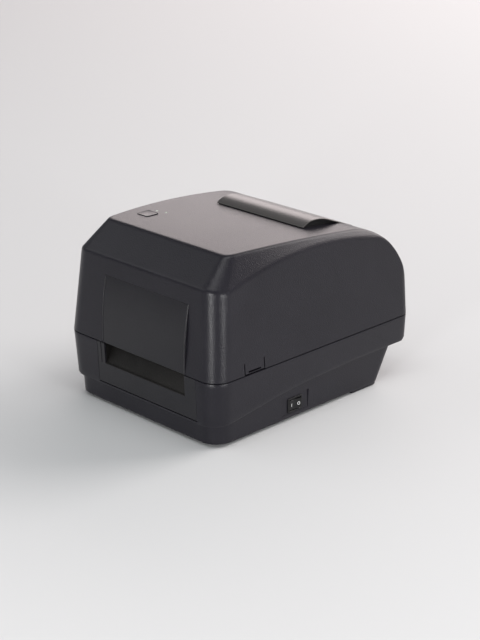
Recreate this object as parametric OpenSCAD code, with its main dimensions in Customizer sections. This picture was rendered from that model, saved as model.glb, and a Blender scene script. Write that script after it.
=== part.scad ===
// Desktop thermal transfer label printer, in millimetres.
// The y positions below count from the middle of the housing; centred() then shifts the
// whole printer so that its hinge barrels at the back are inside a box centred on the origin.
// +X is to the right of someone who faces the label exit, +Y goes to the back, +Z is up,
// and z = 0 is the table.

/* [Housing] */
// Width of the housing at the parting line
body_w = 226; // [220:1:240]
// Depth of the housing at the parting line, without the hinge barrels
body_d = 290; // [286:1:304]
// Height of the parting line between base and cover, above the table
seam_z = 72; // [71:0.5:76]
// Height of the cover's crest above the parting line
cover_h = 118; // [116:1:126]
// Wall of the moulded housing parts
wall = 2.5; // [2:0.1:3]
// Radius of the two front corners, seen from above
front_corner_r = 20; // [14:1:24]
// Radius of the two rear corners, seen from above
rear_corner_r = 10; // [7:1:14]
// Open gap along the parting line
seam_gap = 1; // [0.6:0.1:1.4]

/* [Cover] */
// Height of the cover's front shoulder above the parting line
shoulder_h = 91; // [86:1:94]
// How far the front and side walls lean in, up to the shoulder
cover_lean = 8; // [6:0.5:10]
// Depth of the sloping face between front wall and top
brow_d = 31; // [26:1:36]
// Height of the side wall's arched top edge above the parting line
arch_h = 106.5; // [104:0.5:108]
// Radius of the side wall's arched top edge
arch_r = 450; // [420:5:520]
// Radius of the cover's nearly flat top
crown_r = 1300; // [1100:20:1500]
// Radius of the cover's round back
back_r = 91; // [88:1:94]
// Height of the raised panel in the cover's front wall
insert_h = 72; // [60:1:78]
// How far that panel bulges out of the wall
insert_bulge = 3.2; // [2:0.1:4]

/* [Paper path] */
// Offset of the paper's centre line from the housing's middle
paper_x = 8; // [5:1:10]
// Width of the paper path between its side walls
paper_w = 124; // [120:1:128]
// Width of the label exit
exit_w = 120; // [112:1:122]
// Height of the label exit under the parting line
exit_h = 23; // [21:0.5:25]
// Largest label roll that fits, across
roll_d = 127; // [110:1:127]
// Height of the label roll's axis above the table
roll_z = 92; // [91:0.5:95]
// Radius of the rubber platen
platen_r = 8; // [7:0.25:8.5]
// Radius of the platen's steel shaft
platen_shaft_r = 3; // [2.5:0.25:3.5]

/* [Switch and buttons] */
// Width of the power switch's frame
switch_w = 20.5; // [19:0.5:22]
// Height of the power switch's frame
switch_h = 15.5; // [14:0.5:17]
// Side of the square feed button
feed_w = 16.5; // [12:0.5:19]
// Width of each cover release tab
tab_w = 26; // [22:1:30]
// Height of each cover release tab
tab_h = 12.5; // [11:0.5:15]

/* [Rear hood] */
// Width of the hood over the roll window
hood_w = 126; // [112:1:130]
// Length of the hood, front to back
hood_l = 76; // [68:1:80]
// Height of the hood's crest above its front edge
hood_h = 6.2; // [5:0.1:7]
// Thickness of the hood's plate
hood_t = 1.8; // [1.4:0.1:2.2]

/* [Feet] */
// Height of the rubber feet that show under the base
foot_h = 3; // [2.5:0.5:4]
// Radius of the rubber feet
foot_r = 7; // [5:0.5:9]

/* [Gears] */
// Module of the drive gears
gear_m = 0.8; // [0.75:0.05:0.9]
// Teeth on the motor's pinion
pinion_teeth = 16; // [14:1:18]
// Teeth on the idler gear
idler_teeth = 40; // [38:1:44]
// Teeth on the platen's gear
platen_teeth = 30; // [28:1:32]

/* [Hidden] */
$fn = 48;

// Shared allowances
cut = 1;            // overrun of every cut past the face it goes through
fit_gap = 0.3;      // gap between pieces that sit in each other
run_gap = 0.05;     // radial gap of a shaft in its bore
rib_t = 2;          // thickness of inner ribs and brackets
plate_t = 1.5;      // thickness of sheet steel
corner_fn = 32;     // facets of the housing's rounded corners
arc_fn = 360;       // facets of the housing's long arcs in the preview

half_d = body_d / 2;
half_w = body_w / 2;
base_top_z = seam_z - seam_gap / 2;
cover_low_z = seam_z + seam_gap / 2;
crest_z = seam_z + cover_h;
shoulder_z = seam_z + shoulder_h;

// Cover: side view arcs
crown_y = -0.3 * body_d;                      // the crown is highest here
crown_z = crest_z - crown_r;                  // centre of the crown's arc
blend_lift = 0.1;                             // lets the two arcs cross at a small angle
back_y = half_d - back_r + blend_lift;        // centre of the back's arc
back_z = crown_z + blend_lift
    + sqrt(pow(crown_r - back_r, 2) - pow(back_y - crown_y, 2));
blend_y = crown_y + (back_y - crown_y) * crown_r / (crown_r - back_r);
brow_y = -half_d + cover_lean;                // foot of the sloping face
brow_angle = atan2(crown_top(brow_y + brow_d) - shoulder_z, brow_d);
wall_angle = atan2(cover_lean, shoulder_h);   // lean of the walls

// Cover: side bevels
bevel_angle = 58.5;
arch_z = seam_z + arch_h;
bevel_r = arch_r / cos(bevel_angle);
bevel_v = (half_w - lean_at(arch_z)) * sin(bevel_angle) + arch_z * cos(bevel_angle) - bevel_r;

// Height of the crown's arc and of the cover's whole top over the point y
function crown_top(y) = crown_z + sqrt(pow(crown_r, 2) - pow(y - crown_y, 2));
function cover_top(y) = y < blend_y ? crown_top(y) : back_z + sqrt(pow(back_r, 2) - pow(y - back_y, 2));
// How far the cover's walls lean in at height z
function lean_at(z) = cover_lean * (z - seam_z) / shoulder_h;

// Base: the lower part is set back below a line that rises to the rear
base_taper = 2.5;       // lean of the base's walls from the seam down to the table
step_in = 5;            // set-back of the lower part at the line
foot_in = 6.8;          // set-back of the lower part at its bottom edge
crease_front_z = 23.4;
crease_rear_z = 42;
crease_shares = [[0, 0], [0.08, 0.13], [0.17, 0.32], [0.3, 0.62], [0.45, 0.84], [0.7, 1], [0.97, 1]];
rear_foot_in = 39;      // bottom edge's rear end, in from the rear wall
rear_neck_in = 20;      // lower part's rear end under the overhang, in from the rear wall
rear_foot_y = half_d - rear_foot_in;
rear_neck_y = half_d - rear_neck_in;
tail_lift = 7;          // rounding of the overhang's lower rear edge
skid_l = 83;            // front end of the low pad under the rear, in from the rear wall
skid_y = half_d - skid_l;
skid_h = 2;
skid_in = 12;           // set-back of the pad from the sides

// Hinge at the back, outside the housing
hinge_r = 4.5;
hinge_pin_r = 2;
hinge_gap = 0.8;        // between the barrels and the rear wall
hinge_y = half_d + hinge_gap + hinge_r;
hinge_z = seam_z;
hinge_x = 74;           // middle of each hinge
knuckle_w = 10;
hinge_web = 5;          // height of the webs that carry the knuckles

// Moves the printer so that the origin is under the middle of its whole box
module centred() {
    translate([0, -(hinge_gap + 2 * hinge_r) / 2, 0]) children();
}

// Puts a drawing of the side view (y to the right, z up) at x, thick towards +X
module side_plate(x, thick) {
    translate([x, 0, 0]) rotate([90, 0, 90]) linear_extrude(thick) children();
}

// Box between two opposite corners
module box(low, high) {
    translate(low) cube(high - low);
}

// Cylinder along X, Y
module rod_x(x, y, z, r, length) {
    translate([x, y, z]) rotate([0, 90, 0]) cylinder(r = r, h = length);
}
module rod_y(x, y, z, r, length) {
    translate([x, y, z]) rotate([-90, 0, 0]) cylinder(r = r, h = length);
}

// Corner points of a rectangle with rounded corners, drawn about its middle
quarter = 90;
function round_points(w, h, r) = [
    for (i = [0 : 3])
        let (turn = i * quarter, side = cos(turn + quarter / 2) > 0 ? 1 : -1, end = i < 2 ? 1 : -1)
            for (a = [0 : quarter / 4 : quarter])
                [side * (w / 2 - r) + r * cos(turn + a), end * (h / 2 - r) + r * sin(turn + a)]];

// Thin plate with the housing's outline at height z, set in on the front and sides
module outline_plate(z, set_in, shell) {
    hx = half_w - set_in - shell;
    for (s = [-1, 1]) {
        translate([s * (hx - front_corner_r + shell), -half_d + set_in + front_corner_r, z])
            cylinder(r = front_corner_r - shell, h = cut, $fn = corner_fn);
        translate([s * (hx - rear_corner_r + shell), half_d - rear_corner_r, z])
            cylinder(r = rear_corner_r - shell, h = cut, $fn = corner_fn);
    }
}

// Block with the housing's outline between two heights, with leaning front and sides
module plan_block(low_z, low_in, high_z, high_in, shell) {
    hull() {
        outline_plate(low_z - cut, low_in, shell);
        outline_plate(high_z, high_in, shell);
    }
}

// Side view of the cover above from_z, drawn smaller all round by shell
module cover_profile(shell, from_z) {
    intersection() {
        translate([crown_y, crown_z]) circle(r = crown_r - shell, $fn = arc_fn);
        union() {
            translate([back_y, back_z]) circle(r = back_r - shell, $fn = arc_fn);
            translate([-body_d, 0]) square([body_d + blend_y, 2 * crest_z]);
            translate([-body_d, 0]) square([2 * body_d, back_z]);
        }
        translate([brow_y, shoulder_z]) rotate(brow_angle)
            translate([-body_d, -2 * body_d - shell]) square([3 * body_d, 2 * body_d]);
        translate([-body_d, from_z]) square([2 * body_d, crest_z]);
    }
}

// Everything under the bevel of one side: a large cylinder whose axis runs up the bevel
module bevel_limit(side, shell) {
    translate([side * sin(bevel_angle) * bevel_v, 0, cos(bevel_angle) * bevel_v])
        rotate([0, side * (bevel_angle - 90), 0])
            translate([0, 0, -body_w]) cylinder(r = bevel_r - shell, h = 3 * body_w, $fn = arc_fn);
}

// Solid cover form above from_z, smaller all round by shell
module cover_form(shell, from_z) {
    intersection() {
        plan_block(seam_z - 2 * cut, lean_at(seam_z - 2 * cut), crest_z + cut, lean_at(crest_z + cut),
            shell);
        side_plate(-half_w, body_w) cover_profile(shell, from_z);
        bevel_limit(1, shell);
        bevel_limit(-1, shell);
    }
}

// Side view of the base above its line, and of the part under it
module upper_side(shell, top_z) {
    polygon(concat(
        [for (p = crease_shares) [
            -half_d + p[0] * body_d,
            crease_front_z + p[1] * (crease_rear_z - crease_front_z) + shell]],
        [
            [half_d + cut, crease_rear_z + tail_lift + shell], [half_d + cut, top_z],
            [-half_d - cut, top_z], [-half_d - cut, crease_front_z + shell]]));
}
module lower_side(shell) {
    polygon([
        [-half_d, foot_h + shell], [rear_foot_y - shell, foot_h + shell],
        [rear_neck_y - shell, crease_rear_z], [rear_neck_y - shell, crease_rear_z + wall],
        [-half_d, crease_rear_z + wall]]);
}
module base_form(shell) {
    intersection() {
        plan_block(crease_front_z, base_taper, seam_z, 0, shell);
        side_plate(-half_w, body_w) upper_side(shell, shell > 0 ? seam_z : base_top_z);
    }
    intersection() {
        plan_block(foot_h, foot_in, crease_rear_z + wall + cut, step_in, shell);
        side_plate(-half_w, body_w) lower_side(shell);
    }
}

// Paper path
path_left = paper_x - paper_w / 2;       // inner faces of the media tray's side walls
path_right = paper_x + paper_w / 2;
tray_t = 2.5;                            // thickness of the tray's walls and deck
tray_low_z = foot_h + wall + fit_gap;    // the side walls stand on the base's floor
tray_drop = 3;                           // top of the tray under the parting line
tray_top_z = seam_z - tray_drop;
platen_in = 29;                          // axis of the platen, in from the front
platen_y = -half_d + platen_in;
platen_z = seam_z - platen_r;
roll_in = 83;                            // axis of the label roll, in from the rear wall
roll_y = half_d - roll_in;
bay_floor_z = 24.5;                      // top of the floor under the roll
bay_fore = 40;                           // reach of that floor in front of the roll's axis
bay_aft = 32;                            // and behind it
bay_front_y = roll_y - bay_fore;
bay_back_y = roll_y + bay_aft;
deck_front_z = 59;
deck_back_z = 55;
tail_in = 7;                             // rear end of the tray's deck, at the fan-fold slot
tail_y = half_d - tail_in;
tail_z = 49;
ramp_in = 35;
ramp_y = half_d - ramp_in;
ramp_z = 47;
bulkhead_in = 16;                        // front face of the tray's front wall, in from the front
bulkhead_y = -half_d + bulkhead_in;
panel_left_w = 9;                        // exit panel beside the paper path, left and right
panel_right_w = 14;
panel_left = path_left - panel_left_w;
panel_right = path_right + panel_right_w;
exit_left = paper_x - exit_w / 2;
exit_low_z = seam_z - exit_h;
lip_r = 1.6;                             // round lip under the exit
jamb_w = 5;                              // strip between the exit and the gap on its left
jamb_gap = 1.5;
chute_in = 11.5;                           // depth of the chute behind the lip

// Slots in the deck
rail_z = 50;                             // rod that carries the gap sensor
rail_r = 2.5;
sensor_slot = 10;                        // width of the slot the sensor looks through
arm_slot = 10;                           // width of the slots for the roll holders' arms
arm_t = 4;
holder_gap = 1;                          // roll holders to the tray's side walls, fully open
holder_travel = 40;

// Drive train at the left of the tray
gear_t = 6;
gear_out = 12.5;                         // left faces of the gears, out from the tray's wall
gear_x = path_left - tray_t - gear_out;
idler_axle_r = 3;
motor_shaft_r = 2.5;
motor_size = 42;
motor_l = 33;
platen_gear_r = gear_m * platen_teeth / 2;
idler_r = gear_m * idler_teeth / 2;
pinion_r = gear_m * pinion_teeth / 2;
mesh_gap = 0.1;                          // spreads the gears' centres a little
idler_angle = -40;                       // from the platen down to the idler
motor_angle = -45;                       // from the idler down to the motor
idler_y = platen_y + (platen_gear_r + idler_r + mesh_gap) * cos(idler_angle);
idler_z = platen_z + (platen_gear_r + idler_r + mesh_gap) * sin(idler_angle);
motor_y = idler_y + (idler_r + pinion_r + mesh_gap) * cos(motor_angle);
motor_z = idler_z + (idler_r + pinion_r + mesh_gap) * sin(motor_angle);

// The rod and the deck's rear edge share the space between the motor and the roll's floor
motor_end_y = motor_y + motor_size / 2;
deck_run = bay_front_y - motor_end_y;
rail_share = 0.22;
deck_share = 0.472;
sensor_d = 18;
rail_y = motor_end_y + rail_share * deck_run;
deck_back_y = max(motor_end_y + deck_share * deck_run, rail_y + sensor_d / 2 + rib_t);

// Spur gear drawn about its axis, with one tooth at the angle phase
tooth_share = 0.44;      // tooth at the pitch circle, as a share of the pitch
tip_share = 0.2;
root_share = 0.72;
module gear_outline(teeth, m, phase) {
    r = m * teeth / 2;
    step = 360 / teeth;
    polygon([
        for (i = [0 : teeth - 1])
            for (p = [
                [-root_share, r - 1.2 * m], [-tooth_share, r], [-tip_share, r + 0.9 * m],
                [tip_share, r + 0.9 * m], [tooth_share, r], [root_share, r - 1.2 * m]])
                [p[1] * cos(phase + i * step + p[0] * step / 2),
                p[1] * sin(phase + i * step + p[0] * step / 2)]]);
}

// Phases that bring the teeth into mesh
platen_phase = idler_angle;
idler_phase = idler_angle + 180 + 180 / idler_teeth;
idler_step = 360 / idler_teeth;
idler_shift = (motor_angle - idler_phase) - idler_step * floor((motor_angle - idler_phase) / idler_step);
pinion_phase = motor_angle + 180 + idler_shift * idler_teeth / pinion_teeth + 180 / pinion_teeth;

// Power switch, in a shallow recess on the right
recess_in = 99;              // front end of the recess, in from the housing's front
recess_l = 39;
recess_front_y = -half_d + recess_in;
recess_back_y = recess_front_y + recess_l;
recess_low_z = 8;
recess_high_z = 28;
recess_deep = 1.2;
switch_in = 118;
switch_y = -half_d + switch_in;
switch_z = (recess_low_z + recess_high_z) / 2 - 0.5 * rib_t;
recess_x = half_w - foot_in - recess_deep + 0.3 * rib_t;   // floor of the recess
bezel_t = 1.6;
bezel_rim = 0.8;
rocker_pin_r = 1.5;
rocker_axis_in = 4;          // rocker's axis behind the bezel's face
rocker_swing = 7;            // degrees to each side
switch_body_l = 14;

// Connector bay under the overhang
bay_x = 10;
bay_w = 70;
bay_low_z = 10;
bay_high_z = 28;
bay_in = 40;                 // the steel plate stands just inside this plane, in from the rear wall
bay_y = half_d - bay_in;

// Label exit at the back for fan-fold stock
slot_low_z = 53;
slot_high_z = 62;

// Base housing
catch_in = 54;               // middle of the release tabs and their catches, in from the front
catch_y = -half_d + catch_in;
catch_drop = 6;              // underside of the catches under the parting line
catch_z = seam_z - catch_drop;
catch_t = 2.5;
catch_reach = 7;             // inner faces of the catches, in from the housing's side
boss_r = 5;
screw_r = 1.5;
screw_head_r = 3;
screw_head_h = 1.5;
screw_l = 10;
front_screw = [80, 61];      // to the side of the middle, and in from the front
rear_screw = [86, 99];       // to the side of the middle, and in from the rear wall
screw_places = [
    for (s = [-1, 1]) each [[s * front_screw[0], -half_d + front_screw[1]],
        [s * rear_screw[0], half_d - rear_screw[1]]]];
board_side = 9;              // board to the motor on its left
board_edge = 4;              // board to the tray's wall on its right
board_in = 35;
board_share = 0.547;
board_left = path_left + motor_l + board_side;
board_right = path_right - board_edge;
board_front_y = -half_d + board_in;
board_back_y = motor_end_y + board_share * deck_run;
board_z = 12;
board_t = 1.6;
front_foot = [25, 33];       // in from the housing's side, and from its front
rear_foot = [29, 61];        // in from the housing's side, and from its rear
foot_places = [
    for (s = [-1, 1]) each [
        [s * (half_w - front_foot[0]), -half_d + front_foot[1]],
        [s * (half_w - rear_foot[0]), half_d - rear_foot[1]]]];
foot_seat = 1;               // depth of the feet's pockets

module base_case() {
    color("#2e2f33") difference() {
        union() {
            difference() {
                base_form(0);
                base_form(wall);
            }
            // low pad under the rear
            box([-half_w + skid_in, skid_y, foot_h - skid_h],
                [half_w - skid_in, rear_foot_y - wall, foot_h + wall]);
            // walls of the connector bay
            intersection() {
                base_form(wall / 2);
                box([bay_x - bay_w / 2 - wall, bay_y, foot_h],
                    [bay_x + bay_w / 2 + wall, half_d, bay_high_z + wall]);
            }
            // posts for the board and for the screws from below
            for (x = [board_left + boss_r, board_right - boss_r],
                y = [board_front_y + boss_r, board_back_y - boss_r])
                translate([x, y, foot_h + wall / 2])
                    cylinder(r = boss_r / 2, h = board_z - foot_h - wall / 2);
            for (p = screw_places) translate([p[0], p[1], foot_h + wall / 2])
                cylinder(r = boss_r, h = screw_l + boss_r);
            for (s = [-1, 1]) base_knuckles(s);
        }
        // front opening for the exit panel
        box([panel_left - fit_gap, -half_d - cut, crease_front_z + wall],
            [panel_right + fit_gap, -half_d + 2 * wall + base_taper, seam_z]);
        // recess and hole of the power switch
        box([recess_x, recess_front_y, recess_low_z], [half_w, recess_back_y, recess_high_z]);
        box([recess_x - 2 * wall, switch_y - switch_w / 2 + bezel_rim, switch_z - switch_h / 2 + bezel_rim],
            [half_w, switch_y + switch_w / 2 - bezel_rim, switch_z + switch_h / 2 - bezel_rim]);
        // connector bay, and the slot for fan-fold stock above it
        box([bay_x - bay_w / 2, bay_y - cut, bay_low_z], [bay_x + bay_w / 2, half_d, bay_high_z]);
        box([path_left, half_d - 2 * wall, slot_low_z], [path_right, half_d + cut, slot_high_z]);
        for (p = foot_places) translate([p[0], p[1], -cut])
            cylinder(r = foot_r + fit_gap, h = (p[1] > skid_y ? foot_h - skid_h : foot_h) + cut
                + foot_seat);
        for (p = screw_places) translate([p[0], p[1], 0]) {
            cylinder(r = screw_r + run_gap, h = foot_h + screw_l);
            cylinder(r = screw_head_r + fit_gap, h = foot_h + screw_head_h + fit_gap);
        }
    }
}

// Steel ledges on the side walls, for the hooks of the release tabs
module latch_catches() {
    x = half_w - base_taper * (seam_z - catch_z) / (seam_z - crease_front_z) - wall / cos(wall_angle)
        - fit_gap / 3;
    color("silver") for (s = [-1, 1])
        box([s > 0 ? half_w - catch_reach : -x, catch_y - tab_w / 3, catch_z],
            [s > 0 ? x : catch_reach - half_w, catch_y + tab_w / 3, catch_z + catch_t]);
}

// Hinge knuckles: the cover's one in the middle, the base's two beside it
module knuckle(x, web_low_z, web_high_z, web_y) {
    difference() {
        union() {
            rod_x(x, hinge_y, hinge_z, hinge_r, knuckle_w);
            box([x, web_y, web_low_z], [x + knuckle_w, hinge_y, web_high_z]);
        }
        rod_x(x - cut, hinge_y, hinge_z, hinge_pin_r + run_gap, knuckle_w + 2 * cut);
    }
}
module base_knuckles(s) {
    for (k = [-1, 1])
        knuckle(s * hinge_x + k * (knuckle_w + fit_gap) - knuckle_w / 2, base_top_z - hinge_web,
            base_top_z, half_d - wall / 2);
}

module hinge_pins() {
    color("silver") for (s = [-1, 1])
        rod_x(s * hinge_x - 1.5 * knuckle_w - fit_gap, hinge_y, hinge_z, hinge_pin_r,
            3 * knuckle_w + 2 * fit_gap);
}

// Black panel in the base's front wall, with the label exit and the chute behind it
module exit_panel() {
    color("#1d1d20") {
        difference() {
            intersection() {
                difference() {
                    base_form(0);
                    base_form(wall);
                }
                box([panel_left, -half_d - cut, crease_front_z + wall + fit_gap],
                    [panel_right, -half_d + 2 * wall + base_taper, seam_z]);
            }
            box([exit_left, -half_d - cut, exit_low_z], [exit_left + exit_w, 0, seam_z + cut]);
            // wedge-shaped gap beside the exit's left jamb
            translate([exit_left - jamb_w, -half_d + 2 * wall + base_taper, 0]) rotate([90, 0, 0])
                linear_extrude(2 * wall + base_taper + cut)
                    polygon([
                        [0, exit_low_z], [0, seam_z + cut], [-jamb_gap, seam_z + cut], [-jamb_gap / 3, exit_low_z]]);
        }
        difference() {
            union() {
                side_plate(exit_left - rib_t, exit_w + 2 * rib_t) chute_side();
                rod_x(exit_left - rib_t, -half_d + base_taper / 2 + lip_r, exit_low_z - lip_r / 2, lip_r,
                    exit_w + 2 * rib_t);
            }
            side_plate(exit_left, exit_w) chute_air();
        }
    }
}

// Side view of the chute's cheeks, and of the free space over its slope
chute_front_y = -half_d + wall + base_taper / 4;
chute_back_y = -half_d + wall + chute_in;
chute_back_z = exit_low_z + chute_in;
module chute_side() {
    polygon([
        [chute_front_y - wall / 2, exit_low_z - rib_t], [chute_front_y + rib_t, exit_low_z - rib_t],
        [chute_back_y, chute_back_z - rib_t], [chute_back_y, base_top_z - rib_t],
        [chute_front_y - wall / 2, base_top_z - rib_t]]);
}
module chute_air() {
    polygon([
        [-half_d - cut, exit_low_z + lip_r / 2], [chute_front_y + lip_r, exit_low_z + lip_r / 2],
        [chute_back_y + cut, chute_back_z + lip_r / 2 + cut], [chute_back_y + cut, seam_z],
        [-half_d - cut, seam_z]]);
}

// Inner frame: two side walls, front wall, and the deck that dips under the label roll
function deck_points(lift) = [
    [platen_y + platen_r + 3 * lip_r / 2, deck_front_z + lift], [deck_back_y, deck_back_z + lift],
    [bay_front_y, bay_floor_z + lift], [bay_back_y, bay_floor_z + lift],
    [ramp_y, ramp_z + lift], [tail_y, tail_z + lift]];
module deck_side() {
    top = deck_points(0);
    low = deck_points(-tray_t);
    polygon(concat(top, [for (i = [len(low) - 1 : -1 : 0]) low[i]]));
}
tray_end_in = 10;                        // side walls' feet, in from the base's rear foot
module tray_wall_side() {
    polygon([
        [bulkhead_y, tray_low_z], [rear_foot_y - tray_end_in, tray_low_z], [ramp_y, ramp_z],
        [tail_y, ramp_z],
        [tail_y, slot_high_z], [roll_y + roll_d / 4, tray_top_z], [bulkhead_y, tray_top_z]]);
}
module media_tray() {
    color("#3b3c41") difference() {
        union() {
            side_plate(path_left - tray_t, tray_t) tray_wall_side();
            side_plate(path_right, tray_t) tray_wall_side();
            side_plate(path_left - tray_t / 2, paper_w + tray_t) deck_side();
            box([path_left - tray_t / 2, bulkhead_y, tray_low_z],
                [path_right + tray_t / 2, bulkhead_y + tray_t, deck_front_z - tray_t]);
        }
        for (x = [path_left - 2 * tray_t, path_right - tray_t]) {
            rod_x(x, platen_y, platen_z, bush_r + run_gap, 4 * tray_t);
            rod_x(x, rail_y, rail_z, rail_r + run_gap, 4 * tray_t);
        }
        rod_x(path_left - 2 * tray_t, motor_y, motor_z, motor_boss_r + fit_gap, 4 * tray_t);
        box([path_left + tray_t, rail_y - sensor_slot / 2, deck_back_z - 3 * tray_t],
            [path_right - tray_t, rail_y + sensor_slot / 2, seam_z]);
        for (x = [path_left + holder_gap / 2, path_right - holder_gap / 2 - holder_travel - arm_t
            - holder_gap])
            box([x, roll_y - arm_slot / 2, bay_floor_z - 2 * tray_t],
                [x + holder_travel + arm_t + holder_gap, roll_y + arm_slot / 2, seam_z]);
    }
}

// Serrated steel bar behind the exit
tear_teeth = 58;
tear_tooth_h = 1.2;
tear_drop = 18;
tear_low_z = seam_z - tear_drop;
tear_y = bulkhead_y - fit_gap / 3 - plate_t;
module tear_bar() {
    w = paper_w - 4 * rib_t;
    left = paper_x - w / 2;
    top = base_top_z - tear_tooth_h;
    color("silver") translate([0, tear_y + plate_t, 0]) rotate([90, 0, 0]) linear_extrude(plate_t)
        polygon(concat(
            [[left + w, tear_low_z], [left, tear_low_z]],
            [for (i = [0 : tear_teeth - 1]) each [
                [left + i * w / tear_teeth, top], [left + (i + 0.5) * w / tear_teeth, top + tear_tooth_h]]],
            [[left + w, top]]));
}

// Platen with its shaft, bushings and gear
bush_r = 5;
bush_flange_r = 7;
bush_flange_t = 1.5;
shaft_left = gear_x - rib_t;
shaft_right = path_right + 4 * tray_t;
module platen_bushings() {
    color("#d8d4c4") for (s = [0, 1]) difference() {
        union() {
            rod_x(s == 0 ? path_left - tray_t : path_right - bush_flange_t, platen_y, platen_z, bush_r,
                tray_t + bush_flange_t);
            rod_x(s == 0 ? path_left + run_gap : path_right - bush_flange_t, platen_y, platen_z,
                bush_flange_r, bush_flange_t - run_gap);
        }
        rod_x(s == 0 ? path_left - 2 * tray_t : path_right - 2 * tray_t, platen_y, platen_z,
            platen_shaft_r + run_gap, 4 * tray_t);
    }
}
module platen_shaft() {
    color("silver") rod_x(shaft_left, platen_y, platen_z, platen_shaft_r, shaft_right - shaft_left);
}
module platen_rubber() {
    left = path_left + bush_flange_t + 3 * fit_gap;
    color("#3a3a3a") difference() {
        rod_x(left, platen_y, platen_z, platen_r, paper_w - 2 * (left - path_left));
        rod_x(left - cut, platen_y, platen_z, platen_shaft_r, paper_w);
    }
}
module platen_gear() {
    color("white") difference() {
        side_plate(gear_x, gear_t) translate([platen_y, platen_z])
            gear_outline(platen_teeth, gear_m, platen_phase);
        rod_x(gear_x - cut, platen_y, platen_z, platen_shaft_r, gear_t + 2 * cut);
    }
}
module idler_gear() {
    color("white") difference() {
        side_plate(gear_x, gear_t) translate([idler_y, idler_z])
            gear_outline(idler_teeth, gear_m, idler_phase);
        rod_x(gear_x - cut, idler_y, idler_z, idler_axle_r + run_gap, gear_t + 2 * cut);
    }
}
module motor_pinion() {
    color("gold") union() {
        side_plate(gear_x, gear_t) translate([motor_y, motor_z])
            gear_outline(pinion_teeth, gear_m, pinion_phase);
        rod_x(gear_x - fit_gap, motor_y, motor_z, motor_shaft_r,
            path_left + motor_l / 2 - gear_x + fit_gap);
    }
}

// Stepper motor under the deck, flanged to the inside of the tray's left wall
motor_boss_r = 11;
motor_chamfer = 4;
module drive_motor() {
    x = path_left + fit_gap / 3;
    color("#3c3c40") difference() {
        union() {
            side_plate(x, motor_l) translate([motor_y, motor_z]) polygon(motor_outline());
            rod_x(x - rib_t, motor_y, motor_z, motor_boss_r, 2 * rib_t);
        }
        rod_x(x - 2 * rib_t, motor_y, motor_z, motor_shaft_r + run_gap, motor_l / 2 + 3 * rib_t);
    }
}
function motor_outline() = let (a = motor_size / 2, b = motor_size / 2 - motor_chamfer)
    [[a, b], [b, a], [-b, a], [-a, b], [-a, -b], [-b, -a], [b, -a], [a, -b]];

// Steel plate on the tray's left wall, with the idler's axle
gear_plate_x = path_left - tray_t - fit_gap / 3 - plate_t;
gear_margin = 8;
module gear_plate() {
    color("silver") union() {
        side_plate(gear_plate_x, plate_t) difference() {
            polygon([
                [platen_y - bush_flange_r, platen_z - bush_flange_r],
                [motor_y - motor_size / 2, motor_z - motor_size / 3],
                [motor_y + motor_size / 2, motor_z - motor_size / 3],
                [motor_y + motor_size / 2, motor_z + motor_size / 3],
                [idler_y + idler_r, tray_top_z], [platen_y - bush_flange_r, tray_top_z]]);
            translate([platen_y, platen_z]) circle(r = platen_shaft_r + fit_gap);
            translate([motor_y, motor_z]) circle(r = motor_shaft_r + fit_gap);
        }
        rod_x(gear_x - fit_gap, idler_y, idler_z, idler_axle_r,
            gear_plate_x - gear_x + fit_gap + plate_t / 2);
        rod_x(gear_x + gear_t + fit_gap, idler_y, idler_z, 2 * idler_axle_r,
            gear_plate_x - gear_x - gear_t - fit_gap + plate_t / 2);
    }
}

// Plastic cover over the gears, hung on the gear plate by its rim
module gear_cover() {
    x = shaft_left - fit_gap - rib_t;
    color("#26262a") difference() {
        side_plate(x, gear_plate_x - x - fit_gap / 3) gear_cover_outline(gear_margin + rib_t);
        side_plate(x + rib_t, gear_plate_x - x) gear_cover_outline(gear_margin);
    }
}
module gear_cover_outline(m) {
    polygon([
        [platen_y - platen_gear_r - m / 2, platen_z - m / 2],
        [idler_y - idler_r / 2 - m, idler_z - idler_r - m / 2],
        [motor_y - m, motor_z - pinion_r - m], [motor_y + m, motor_z - pinion_r - m],
        [motor_y + m, motor_z + m], [idler_y + idler_r + m, idler_z + idler_r / 2],
        [idler_y + idler_r / 2, idler_z + idler_r + m / 2], [platen_y + platen_gear_r + m / 2,
        platen_z + platen_gear_r / 2],
        [platen_y + platen_gear_r / 2, platen_z + platen_gear_r + m / 2],
        [platen_y - platen_gear_r / 2, platen_z + platen_gear_r + m / 2],
        [platen_y - platen_gear_r - m / 2, platen_z + platen_gear_r / 2]]);
}

// Control board with its parts
module main_board() {
    color("darkgreen") box([board_left, board_front_y, board_z],
        [board_right, board_back_y, board_z + board_t]);
}
chip_h = 2;
cap_r = 5;
cap_h = 16;
header_h = 9;
module board_parts() {
    w = board_right - board_left;
    d = board_back_y - board_front_y;
    top = board_z + board_t;
    color("#222222") {
        box([board_left + w / 3, board_front_y + d / 3, top],
            [board_left + 2 * w / 3, board_front_y + d / 2, top + chip_h]);
        box([board_left + w / 5, board_front_y + 2 * d / 3, top],
            [board_left + w / 3, board_front_y + 3 * d / 4, top + chip_h]);
        for (i = [0 : 2]) translate([board_left + w / 8 + 2.5 * i * cap_r, board_back_y - 2 * cap_r, top])
            cylinder(r = cap_r, h = cap_h);
        for (i = [0 : 3]) box([board_right - header_h, board_front_y + d / 8 + i * d / 5, top],
            [board_right - header_h / 3, board_front_y + d / 8 + (i + 0.7) * d / 5, top + header_h]);
    }
}

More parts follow.
